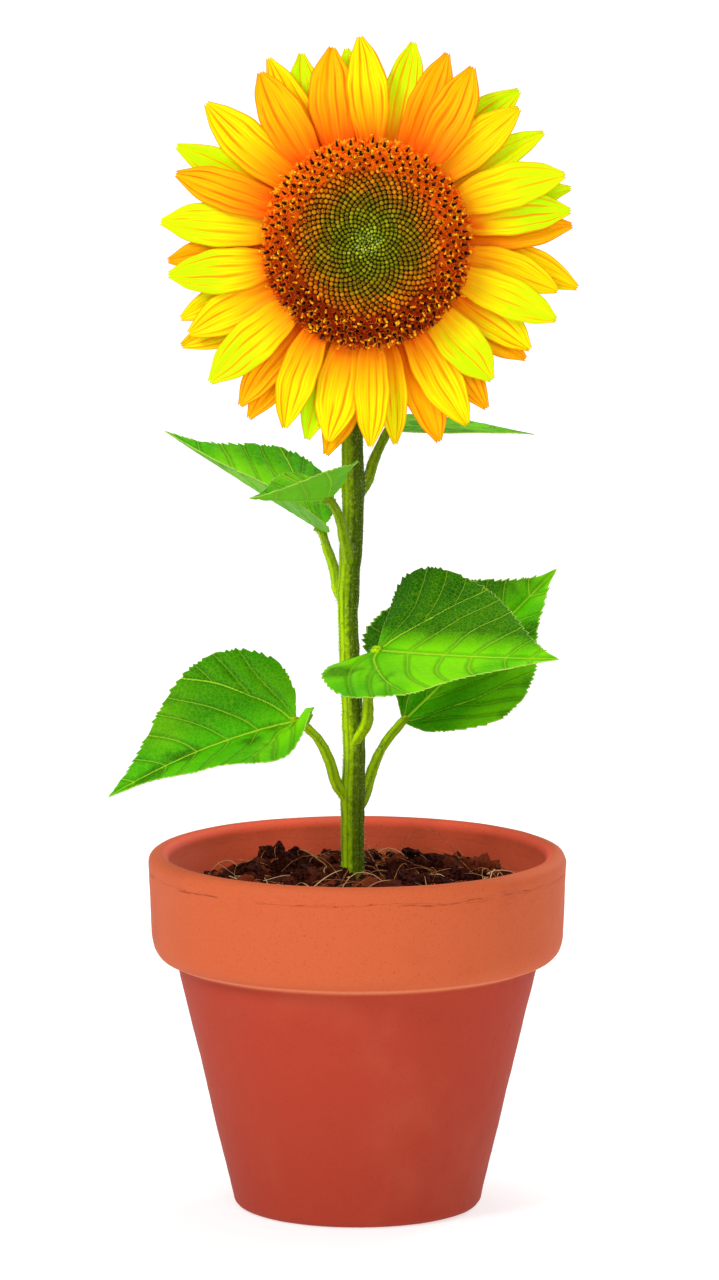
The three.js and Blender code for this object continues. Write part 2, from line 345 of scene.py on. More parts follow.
@dataclass(frozen=True)
class Matter(Finish):
    """A plain natural matter of one base colour, broken by noise and dealt out piece by piece."""

    name: str
    colour: str
    shade: str
    roughness: float = 0.85
    grain: float = 2.0
    relief: float = 0.3
    light: str = ""
    sheen: float = 0.25

    def mix(self, tree: Tree) -> dict[str, Any]:
        """The base colour, darker in its clouds and lighter from one small piece to the next.

        Args:
            tree: The material's node tree.

        Returns:
            The principled shader's inputs.
        """
        cloud = noise_of(tree, self.grain)
        tone = blend(tree, reach(tree, cloud, 0.62, 0.35), self.colour, self.shade)
        if self.light:
            deal = reach(tree, value_of(tree, "deal"), 0.55, 1.0, 0.8)
            tone = blend(tree, deal, tone, self.light)
        return coat(tone, self.roughness, self.sheen, raised(tree, cloud, self.relief, 0.5))


@dataclass(frozen=True)
class StemSkin(Finish):
    """The ribbed, bristly skin of a green annual stem."""

    name: str = "ribbed_stem_skin"
    lit: str = "#b2da00"
    deep: str = "#5c8400"
    scar: str = "#4a3c10"
    high_olive: str = "#4a5204"
    dark: str = "#2a3e00"
    hair: str = "#c4e070"
    gloom: float = 0.86

    def mix(self, tree: Tree) -> dict[str, Any]:
        """Yellow-green ribs over olive furrows, partly painted light and shade, with one side in painted
        shade, long streaks and small brown scars.

        Args:
            tree: The material's node tree.

        Returns:
            The principled shader's inputs.
        """
        # Ribs lighter and furrows darker: partly the stem's own streaks, partly painted light on the ribs
        # and painted shade in the furrows.
        streak = maths(tree, "MULTIPLY", noise_of(tree, 1.6, 3, (1, 1, 9)), 0.9)
        ribbed = maths(tree, "ADD", value_of(tree, "rib"), streak)
        tone = blend(tree, reach(tree, ribbed, 0.25, 1.05), self.deep, self.lit)
        # The stem turns dark olive from about 0.26 m up towards the head. The side away from the key
        # light is painted shade, dark olive with a mottled edge.
        height = add(tree, "SeparateXYZ", None, {0: place_of(tree)}).outputs[2]
        tone = blend(tree, reach(tree, height, 0.26, 0.36, 0.55), tone, self.high_olive)
        mottle = maths(tree, "MULTIPLY", noise_of(tree, 2.4, 3), 0.5)
        painted_shade_side = maths(tree, "ADD", value_of(tree, "shade"), mottle)
        tone = blend(tree, reach(tree, painted_shade_side, 0.42, 0.86, self.gloom), tone, self.dark)
        speck = noise_of(tree, 1.1, 2)
        tone = blend(tree, reach(tree, speck, 0.62, 0.72, 0.7), tone, self.scar)
        down = noise_of(tree, 0.7, 2, (1, 1, 3))
        tone = blend(tree, reach(tree, down, 0.56, 0.7, 0.2), tone, self.hair)
        return coat(tone, 0.6, 0.06, raised(tree, down, 0.35, 0.6))


@dataclass(frozen=True)
class LeafSkin(Finish):
    """The upper and under skin of a sunflower leaf; sizes in millimetres."""

    name: str = "veined_leaf_skin"
    green: str = "#4ab600"
    bright: str = "#8aec00"
    dark: str = "#104e00"
    vein: str = "#a8d428"
    under: str = "#74b428"
    margin: str = "#b7d65a"
    net_cell: float = 2.0

    def mix(self, tree: Tree) -> dict[str, Any]:
        """Bright green panels between pale veins, a fine net, dark patches, painted shade on one half and
        in the creases along the veins, and a pale underside.

        Args:
            tree: The material's node tree.

        Returns:
            The principled shader's inputs.
        """
        cloud = noise_of(tree, 48, 2)
        tone = blend(tree, reach(tree, cloud, 0.38, 0.66, 0.8), self.green, self.bright)
        tone = blend(tree, reach(tree, noise_of(tree, 22, 3), 0.46, 0.28, 0.7), tone, self.dark)
        # Painted shade darkens the shaded half of a leaf and the sunken creases beside its veins.
        tone = blend(tree, value_of(tree, "gloom"), tone, self.dark)
        tone = blend(tree, reach(tree, value_of(tree, "panel"), 0.7, 0.2, 0.35), tone, self.dark)
        cells = {"Vector": place_of(tree), "Scale": 1 / (self.net_cell * MM)}
        net = add(tree, "TexVoronoi", {"feature": "DISTANCE_TO_EDGE"}, cells).outputs[0]
        tone = blend(tree, reach(tree, net, 0.1, 0.02, 0.16), tone, self.vein)
        # The midrib and the lowest side veins are drawn by their distance in millimetres.
        for name, width, core in (("rib", 0.95, 0.4), ("basal", 0.8, 0.3)):
            tone = blend(tree, reach(tree, value_of(tree, name), width, core, 0.9), tone, self.vein)
        # The other veins lie where their count is whole.
        for name, width, share in (("phase", 0.026, 0.6), ("twig", 0.03, 0.35)):
            turn = maths(tree, "PINGPONG", value_of(tree, name), 0.5)
            tone = blend(tree, reach(tree, turn, width, width * 0.3, share), tone, self.vein)
        tone = blend(tree, maths(tree, "MULTIPLY", value_of(tree, "under"), 0.62), tone, self.under)
        tone = blend(tree, reach(tree, value_of(tree, "edge"), 0.985, 1.0, 0.7), tone, self.margin)
        return coat(tone, 0.5, 0.06, raised(tree, net, 0.3, 0.4))


@dataclass(frozen=True)
class BedSkin(Finish):
    """The disc's bed: dark painted shade between the buds, bright orange where the florets are open."""

    name: str = "floret_bed"
    gap: str = "#241602"
    upper: str = "#ff7404"
    lower: str = "#9c2600"
    core: str = "#8f9a10"

    def mix(self, tree: Tree) -> dict[str, Any]:
        """Bright orange painted light at the top of the open ring, deep red painted shade at its foot,
        with pitted grain.

        Args:
            tree: The material's node tree.

        Returns:
            The principled shader's inputs.
        """
        grain = noise_of(tree, 2.2)
        # The top of the ring is painted lit and its foot painted shade, by the "up" attribute.
        tone = blend(tree, reach(tree, value_of(tree, "up"), 0.05, 0.9), self.lower, self.upper)
        tone = blend(tree, reach(tree, grain, 0.55, 0.3, 0.45), tone, self.lower)
        # Between the buds the bed is painted dark, painted shade among them.
        tone = blend(tree, value_of(tree, "ring"), self.gap, tone)
        tone = blend(tree, value_of(tree, "core"), tone, self.core)
        return coat(tone, 0.7, 0.08, raised(tree, grain, 0.4, 0.5))


@dataclass(frozen=True)
class RaySkin(Finish):
    """The silky, ribbed skin of a ray floret."""

    name: str
    root: str
    middle: str
    tip: str
    groove: str
    ribs: float = 4.5
    root_end: float = 0.12
    middle_end: float = 0.36
    tip_start: float = 0.6

    def silk(self, tree: Tree, lay: Any, deal: Any) -> Socket:
        """Soft patches drawn out along the floret, different on each.

        Args:
            tree: The material's node tree.
            lay: The floret's own share across and along.
            deal: The floret's own random share.

        Returns:
            A value of about 0.25 to 0.75.
        """
        shift = add(tree, "CombineXYZ", None, {0: maths(tree, "MULTIPLY", deal, 40.0)}).outputs[0]
        spread = {"Vector": lay, "Scale": (7.0, 1.6, 1.0), "Location": shift}
        drawn_out = add(tree, "Mapping", None, spread).outputs[0]
        inputs = {"Vector": drawn_out, "Scale": 1.0, "Detail": 2.0}
        return add(tree, "TexNoise", None, inputs).outputs["Fac"]

    def mix(self, tree: Tree) -> dict[str, Any]:
        """Deep orange at the root turning to clear yellow, with thin orange furrows along it.

        Args:
            tree: The material's node tree.

        Returns:
            The principled shader's inputs.
        """
        lay = add(tree, "UVMap", {"uv_map": UV_NAME}).outputs[0]
        parts = add(tree, "SeparateXYZ", None, {0: lay})
        across, along = parts.outputs[0], parts.outputs[1]
        deal = value_of(tree, "deal")
        patches = self.silk(tree, lay, deal)
        drift = maths(tree, "SUBTRACT", maths(tree, "MULTIPLY", patches, 0.35), 0.17)
        stops = [(self.root_end, self.root), (self.middle_end, self.middle), (self.tip_start, self.tip)]
        places = {0: maths(tree, "ADD", along, drift)}
        tone = add(tree, "ValToRGB", {"stops": stops}, places).outputs[0]
        wander = maths(tree, "MULTIPLY", noise_of(tree, 22, 1), 0.16)
        turns = maths(tree, "MULTIPLY", maths(tree, "ADD", across, wander), self.ribs)
        # Coarse and fine furrows fade in and out along the floret.
        patchy = reach(tree, patches, 0.34, 0.6)
        furrow = reach(tree, maths(tree, "PINGPONG", turns, 0.5), 0.25, 0.02, 0.95)
        tone = blend(tree, maths(tree, "MULTIPLY", furrow, patchy), tone, self.groove)
        fine = maths(tree, "PINGPONG", maths(tree, "MULTIPLY", turns, 2.7), 0.5)
        line = reach(tree, fine, 0.22, 0.04, 0.5)
        tone = blend(tree, maths(tree, "MULTIPLY", line, patchy), tone, self.groove)
        margin = maths(tree, "PINGPONG", across, 0.5)
        tone = blend(tree, reach(tree, margin, 0.05, 0.0, 0.6), tone, self.groove)
        tone = blend(tree, reach(tree, deal, 0.4, 1.0, 0.3), tone, self.middle)
        return coat(tone, 0.5, 0.05, raised(tree, fine, 0.15, 0.4))


@dataclass(frozen=True)
class StudioPaper(Finish):
    """A plain white sweep, lit a little from behind."""

    name: str = "back_lit_white_sweep"
    sheet: str = "#c4c4c4"
    fibre: str = "#bcbcbc"

    def mix(self, tree: Tree) -> dict[str, Any]:
        """White matt sheet with a trace of fibre, glowing evenly.

        Args:
            tree: The material's node tree.

        Returns:
            The principled shader's inputs.
        """
        tone = blend(tree, reach(tree, noise_of(tree, 300), 0.4, 0.7, 0.3), self.sheet, self.fibre)
        length = {"operation": "LENGTH"}
        distance = add(tree, "VectorMath", length, {0: place_of(tree)}).outputs["Value"]
        # The glow makes up for the lamps' fall-off, so it grows away from the plant.
        glow = maths(tree, "ADD", reach(tree, distance, 0.25, 3.5, 0.3), 0.6)
        return {
            "Base Color": tone,
            "Roughness": 0.95,
            "Specular IOR Level": 0.1,
            "Emission Color": (1.0, 1.0, 1.0, 1.0),
            "Emission Strength": glow,
        }


# Moist potting mix is nearly black and swallows light, bark lies in it as redder chips, and coir runs
# over it in straw-coloured threads. Pale bristles soften the stem's edge. The flower's back is a duller
# green than the leaves.
POTTING_MIX = Matter("moist_potting_mix", "#44180e", "#140404", 0.95, 1.6, 0.8, "#82381e", 0.06)
BARK = Matter("composted_bark", "#943e20", "#3e140a", 0.9, 1.4, 0.5, "#b8643a", 0.08)
COIR = Matter("coir_fibre", "#cc8a50", "#8a4c24", 0.75, 3.0, 0.1, "#f4cc98", 0.1)
BRISTLE = Matter("plant_bristle", "#c8d890", "#9fb860", 0.6, 2.0, 0.05)
RECEPTACLE = Matter("green_receptacle", "#4f8410", "#2a5208", 0.6, 3.0, 0.3)
BRACT = Matter("bract_skin", "#4c8a12", "#235008", 0.55, 2.5, 0.3, "#6da51c")


# ------------------------------------------------------------------ mesh helpers


def read_points(bm: BMesh) -> Array:
    """The mesh's points as rows of x, y, z."""
    return np.array([v.co[:] for v in bm.verts])


def write_points(bm: BMesh, points: Array) -> None:
    """Moves a mesh's vertices.

    Args:
        bm: The mesh.
        points: A row of x, y, z for each vertex.
    """
    for vertex, point in zip(bm.verts, points):
        vertex.co = point
    bm.normal_update()


def set_values(bm: BMesh, name: str, values: Array) -> None:
    """Writes one value for each vertex.

    Args:
        bm: The mesh.
        name: The attribute that takes them.
        values: A value for each vertex.
    """
    layer = bm.verts.layers.float.get(name) or bm.verts.layers.float.new(name)
    for vertex, value in zip(bm.verts, values):
        vertex[layer] = float(value)


def unit_grid(columns: int, rows: int) -> tuple[BMesh, Array]:
    """A flat grid with its own UV map.

    Args:
        columns: Faces across.
        rows: Faces along.

    Returns:
        The grid, and each vertex's share across and along, both 0 to 1.
    """
    bm = bmesh.new()
    bmesh.ops.create_grid(bm, x_segments=columns, y_segments=rows, size=0.5)
    layer = bm.loops.layers.uv.new(UV_NAME)
    for face in bm.faces:
        for loop in face.loops:
            loop[layer].uv = loop.vert.co.xy + Vector((0.5, 0.5))
    return bm, read_points(bm)[:, :2] + 0.5


def close_up(bm: BMesh, distance: float = 0.01) -> None:
    """Merges doubles nearer than the distance in millimetres and turns the faces outward."""
    bmesh.ops.remove_doubles(bm, verts=bm.verts[:], dist=distance * MM)
    bmesh.ops.recalc_face_normals(bm, faces=bm.faces[:])


def face_along(bm: BMesh, direction: Array) -> None:
    """Turns an open sheet over if it faces away from a direction.

    Args:
        bm: The sheet.
        direction: Roughly where its front has to face.
    """
    bm.normal_update()
    mean = np.mean([v.normal[:] for v in bm.verts], axis=0)
    if float(mean @ direction) < 0:
        bmesh.ops.reverse_faces(bm, faces=bm.faces[:])
        bm.normal_update()


def thicken(bm: BMesh, thickness: float) -> None:
    """Closes an open sheet into a thin solid, marking its back with the "under" attribute.

    Args:
        bm: The sheet, its front facing along its normals.
        thickness: Its thickness in millimetres.
    """
    layer = bm.verts.layers.float.new("under")
    front = set(bm.verts)
    bmesh.ops.extrude_face_region(bm, geom=bm.faces[:], use_keep_orig=True)
    for vertex in bm.verts:
        if vertex not in front:
            vertex[layer] = 1.0
            vertex.co -= vertex.normal * thickness * MM
    bmesh.ops.recalc_face_normals(bm, faces=bm.faces[:])


def swell(points: Array, size: float, seed: int) -> Array:
    """Smooth random relief.

    Args:
        points: Rows of coordinates in metres.
        size: Length of one swell in millimetres.
        seed: Picks the pattern.

    Returns:
        For each row a value of about -1 to 1.
    """
    rng = np.random.default_rng(seed)
    count = 14
    waves = unit(rng.normal(size=(count, points.shape[1])))
    waves *= 2 * math.pi / (size * MM) * rng.uniform(0.5, 1.5, (count, 1))
    phases = rng.uniform(0, 2 * math.pi, count)
    return np.sin(points @ waves.T + phases).sum(axis=1) / count**0.5 / 1.3


def smooth(points: Sequence[Sequence[float]] | Array, count: int) -> Array:
    """A smooth route through given points, evenly spaced.

    Args:
        points: The points it passes through.
        count: How many points it gets.

    Returns:
        The route's points.
    """
    rows = np.asarray(points, float)
    gaps = np.linalg.norm(np.diff(rows, axis=0), axis=1)
    knots = np.concatenate([[0.0], np.cumsum(gaps**0.5)])
    slopes = np.gradient(rows, knots, axis=0)
    at = np.linspace(0, knots[-1], count * 6)
    low = np.clip(np.searchsorted(knots, at, side="right") - 1, 0, len(rows) - 2)
    span = (knots[low + 1] - knots[low])[:, None]
    t = ((at - knots[low]) / span[:, 0])[:, None]
    fine = (
        (2 * t**3 - 3 * t**2 + 1) * rows[low]
        + (t**3 - 2 * t**2 + t) * span * slopes[low]
        + (3 * t**2 - 2 * t**3) * rows[low + 1]
        + (t**3 - t**2) * span * slopes[low + 1]
    )
    lengths = np.concatenate([[0.0], np.cumsum(np.linalg.norm(np.diff(fine, axis=0), axis=1))])
    even = np.linspace(0, lengths[-1], count)
    return np.stack([np.interp(even, lengths, fine[:, i]) for i in range(rows.shape[1])], axis=1)


def unit(rows: Array) -> Array:
    """The rows scaled to length 1."""
    return rows / np.maximum(np.linalg.norm(rows, axis=-1, keepdims=True), 1e-12)


def polar(radius: Array, angle: Array, height: Array) -> Array:
    """Points at a distance, a turn and a height about the Z axis."""
    return np.stack([radius * np.cos(angle), radius * np.sin(angle), height], axis=1)


def tube(route: Array, radii: Array, sides: int) -> tuple[BMesh, Array, Array]:
    """A tube along a route, with its seam and ends still open.

    Args:
        route: Points of its centre line in metres.
        radii: Its radius in metres at each point.
        sides: Faces round it.

    Returns:
        The tube, each vertex's turn (0 to 1) and share of the length, and the outward direction at each
        vertex.
    """
    bm, lay = unit_grid(sides, len(route) - 1)
    tangents = unit(np.gradient(route, axis=0))
    normal = unit(np.cross(tangents[0], [0.3, 1.0, 0.2]))
    normals = []
    for tangent in tangents:
        normal = unit(normal - tangent * (normal @ tangent))
        normals.append(normal)
    first = np.array(normals)
    second = np.cross(tangents, first)
    row = np.rint(lay[:, 1] * (len(route) - 1)).astype(int)
    angle = lay[:, 0] * 2 * math.pi
    outward = first[row] * np.cos(angle)[:, None] + second[row] * np.sin(angle)[:, None]
    write_points(bm, route[row] + outward * radii[row][:, None])
    return bm, lay, outward


def cap_ends(bm: BMesh, distance: float = 0.002) -> None:
    """Closes a tube's seam and both its ends.

    Args:
        bm: The open tube.
        distance: The seam's doubles are nearer than this, in millimetres.
    """
    bmesh.ops.remove_doubles(bm, verts=bm.verts[:], dist=distance * MM)
    bmesh.ops.holes_fill(bm, edges=[e for e in bm.edges if e.is_boundary], sides=0)
    bmesh.ops.recalc_face_normals(bm, faces=bm.faces[:])


def turned(profile: Array, steps: int) -> BMesh:
    """A profile of radius and height in millimetres spun into one closed surface.

    Args:
        profile: Rows of radius and height, from axis to axis.
        steps: Faces round the turn.

    Returns:
        The mesh.
    """
    bm = bmesh.new()
    line = [bm.verts.new((r * MM, 0, z * MM)) for r, z in profile]
    edges = [bm.edges.new(pair) for pair in zip(line, line[1:])]
    around = {"axis": (0, 0, 1), "cent": (0, 0, 0), "angle": 2 * math.pi}
    bmesh.ops.spin(bm, geom=line + edges, steps=steps, use_merge=True, **around)
    close_up(bm, 0.005)
    return bm


def copies(template: BMesh, places: Array, deal: Array | None = None) -> Mesh:
    """One mesh of many copies of a small shape.

    Args:
        template: The shape; it is freed.
        places: A 4 x 4 matrix for each copy.
        deal: A value for each copy, kept as the "deal" attribute.

    Returns:
        The joined mesh.
    """
    points = read_points(template)
    faces = [[v.index for v in f.verts] for f in template.faces]
    template.free()
    rows = np.concatenate([points, np.ones((len(points), 1))], axis=1)
    moved = np.einsum("nij,vj->nvi", places[:, :3, :], rows).reshape(-1, 3)
    mesh = bpy.data.meshes.new("copies")
    step = len(points)
    starts = [n * step for n in range(len(places))]
    mesh.from_pydata(moved.tolist(), [], [[i + start for i in f] for start in starts for f in faces])
    shares = np.repeat(deal if deal is not None else np.zeros(len(places)), step)
    mesh.attributes.new("deal", "FLOAT", "POINT").data.foreach_set("value", shares.astype(np.float32))
    return mesh


def matrices(origins: Array, axes: Array, sizes: Array, spins: Array) -> Array:
    """Places for copies of a shape that stands along +Z.

    Args:
        origins: Where each copy's own origin goes.
        axes: The direction in which each one stands.
        sizes: Scale along x, y and z of each copy.
        spins: Turn of each copy about its own axis.

    Returns:
        A 4 x 4 matrix for each copy.
    """
    up = unit(axes)
    spare = np.where(np.abs(up[:, 2:3]) > 0.9, [[1.0, 0.0, 0.0]], [[0.0, 0.0, 1.0]])
    side = unit(np.cross(spare, up))
    other = np.cross(up, side)
    turned_side = side * np.cos(spins)[:, None] + other * np.sin(spins)[:, None]
    turned_other = np.cross(up, turned_side)
    made = np.zeros((len(origins), 4, 4))
    for column, direction in enumerate((turned_side, turned_other, up)):
        made[:, :3, column] = direction * sizes[:, column : column + 1]
    made[:, :3, 3] = origins
    made[:, 3, 3] = 1
    return made


def joined(parts: Sequence[Mesh | BMesh]) -> BMesh:
    """One mesh of several.

    Args:
        parts: The meshes; they are freed.

    Returns:
        The joined mesh.
    """
    whole = bmesh.new()
    for part in parts:
        mesh = part
        if isinstance(part, BMesh):
            mesh = bpy.data.meshes.new("part")
            part.to_mesh(mesh)
            part.free()
        whole.from_mesh(mesh)
        bpy.data.meshes.remove(mesh)
    return whole


def show(
    name: str,
    source: BMesh | Mesh,
    finish: Finish,
    stands_for: Sequence[str] = (),
    flat: bool = False,
) -> None:
    """Puts a finished piece in the scene and lets it ride on the object's one body.

    Args:
        name: The piece's name.
        source: Its mesh.
        finish: Its finish.
        stands_for: The CAD nodes that it replaces.
        flat: Whether its faces keep their edges.
    """
    mesh = source
    if isinstance(source, BMesh):
        mesh = bpy.data.meshes.new(name)
        source.to_mesh(mesh)
        source.free()
    mesh.name = name
    mesh.materials.append(finish.material())
    mesh.polygons.foreach_set("use_smooth", [not flat] * len(mesh.polygons))
    mesh.update()
    piece = bpy.data.objects.new(name, mesh)
    bpy.context.scene.collection.objects.link(piece)
    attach(piece, "root")
    if stands_for:
        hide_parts(*stands_for)
    log.info("%s: %d triangles", name, sum(len(p.vertices) - 2 for p in mesh.polygons))


def bristles(bases: Array, outward: Array, length: float, seed: int) -> Mesh:
    """Short stiff hairs standing on a surface.

    Args:
        bases: Where each hair starts.
        outward: The surface's direction there.
        length: The longest hair in millimetres.
        seed: Picks their lean and length.

    Returns:
        One mesh of all the hairs.
    """
    rng = np.random.default_rng(seed)
    spike = bmesh.new()
    upward = Matrix.Translation((0, 0, 0.5))
    cone = {"segments": 3, "radius1": 1, "radius2": 0.15, "depth": 1, "matrix": upward}
    bmesh.ops.create_cone(spike, cap_ends=True, **cone)
    lean = unit(outward + rng.normal(0, 0.28, outward.shape))
    tall = rng.uniform(0.35, 1.0, len(bases)) * length * MM
    sizes = np.stack([np.full(len(bases), 0.075 * MM)] * 2 + [tall], axis=1)
    spins = rng.uniform(0, ANY_TURN, len(bases))
    return copies(spike, matrices(bases - lean * 0.1 * MM, lean, sizes, spins))


# ------------------------------------------------------------------ the pot


@dataclass
class Pot:
    """The terracotta pot; sizes in millimetres.

    Each corner of the section is a pair of radius and height, and a knee is the point that a rounded
    corner is drawn towards.
    """

    foot_radius: float = 54.0
    foot_knee: tuple[float, float] = (59.1, 0.2)
    body_bottom: tuple[float, float] = (59.6, 5.0)
    body_top: tuple[float, float] = (86.2, 117.3)
    neck_knee: tuple[float, float] = (86.9, 120.3)
    rim_bottom: tuple[float, float] = (88.6, 120.5)
    shoulder_knee: tuple[float, float] = (97.6, 120.5)
    rim_shoulder: tuple[float, float] = (98.4, 132.0)
    rim_middle: tuple[float, float] = (99.6, 158.0)
    rim_edge: tuple[float, float] = (100.0, 167.1)
    mouth_radius: float = 90.2
    lip_top: tuple[float, float] = (93.5, 172.0)
    floor: tuple[float, float] = (50.0, 12.0)
    crack_level: float = 163.5
    steps: int = 300

    def profile(self) -> Array:
        """The pot's section from the axis underneath, up the outside, over the lip and down inside.

        Returns:
            Rows of radius and height.
        """
        lip = (self.rim_edge[0] - self.mouth_radius) / 2
        turn = np.linspace(0, math.pi, 15)[1:-1]
        crest = [self.mouth_radius + lip + lip * np.cos(turn), self.rim_edge[1] + lip * np.sin(turn)]
        runs = [
            np.linspace((0, 0), (self.foot_radius, 0), 8),
            self.bow((self.foot_radius, 0), self.foot_knee, self.body_bottom, 7),
            np.linspace(self.body_bottom, self.body_top, 44)[1:],
            self.bow(self.body_top, self.neck_knee, self.rim_bottom, 5)[1:],
            self.bow(self.rim_bottom, self.shoulder_knee, self.rim_shoulder, 12)[1:],
            np.linspace(self.rim_shoulder, self.rim_middle, 14)[1:],
            np.linspace(self.rim_middle, self.rim_edge, 22)[1:],
            np.stack(crest, axis=1),
            np.linspace((self.mouth_radius, self.rim_edge[1]), self.floor, 40),
            np.linspace(self.floor, (0, self.floor[1]), 5)[1:],
        ]
        return np.concatenate(runs)

    @staticmethod
    def bow(start: Sequence[float], knee: Sequence[float], end: Sequence[float], count: int) -> Array:
        """A rounded corner as a quadratic bow from start to end, drawn towards the knee."""
        t = np.linspace(0, 1, count)[:, None]
        return (1 - t) ** 2 * np.array(start) + 2 * t * (1 - t) * np.array(knee) + t**2 * np.array(end)

    def build(self) -> BMesh:
        """Spins the section, then adds hand-finished unevenness, pits and rim cracks.

        Returns:
            The pot, with its "crack" and "inside" attributes.
        """
        bm = turned(self.profile(), self.steps)
        points = read_points(bm)
        radius = np.linalg.norm(points[:, :2], axis=1)
        outward = points * [1, 1, 0] / np.maximum(radius, 1e-9)[:, None]
        radius, height = radius / MM, points[:, 2] / MM
        wall = np.clip((radius - self.foot_radius + 2) / 6, 0, 1)
        uneven = 0.16 * swell(points, 34, 1) + 0.07 * swell(points, 9, 2)
        level = self.crack_level + 0.9 * swell(points, 55, 5) + 0.3 * swell(points, 12, 6)
        outer = radius > 96
        crack = np.exp(-(((height - level) / 0.3) ** 2)) * (swell(points, 30, 8) > -0.35) * outer
        pits = (swell(points, 4.2, 7) > 1.08) * wall
        write_points(bm, points + outward * ((uneven * wall - 0.2 * crack - 0.3 * pits) * MM)[:, None])
        set_values(bm, "crack", np.clip(crack * 0.5 + pits * 0.25, 0, 1))
        inner_wall = np.array([self.floor, (self.mouth_radius, self.rim_edge[1]), self.lip_top])
        wall_radius = np.interp(height, inner_wall[:, 1], inner_wall[:, 0])
        inside = np.clip((wall_radius + 1.5 - radius) / 2, 0, 1) * (height > self.floor[1] - 1)
        set_values(bm, "inside", inside)
        return bm

    def dress(self) -> None:
        """Shows the pot."""
        show("terracotta_pot", self.build(), FiredTerracotta(), ["pot"])


@dataclass(frozen=True)
class Grit:
    """One kind of loose lump in the mix; sizes in millimetres.

    Its lumps are dealt out evenly to a few shapes. Each one's size lies between smallest and largest,
    and a higher rarity leaves fewer large ones. Squash is its least stretch along x, y and z, and
    spread what chance adds to each.
    """

    count: int
    seed: int
    smallest: float
    largest: float
    rarity: float
    lift: float
    outreach: float
    squash: tuple[float, float, float] = (0.8, 0.8, 0.6)
    spread: tuple[float, float, float] = (0.4, 0.4, 0.4)


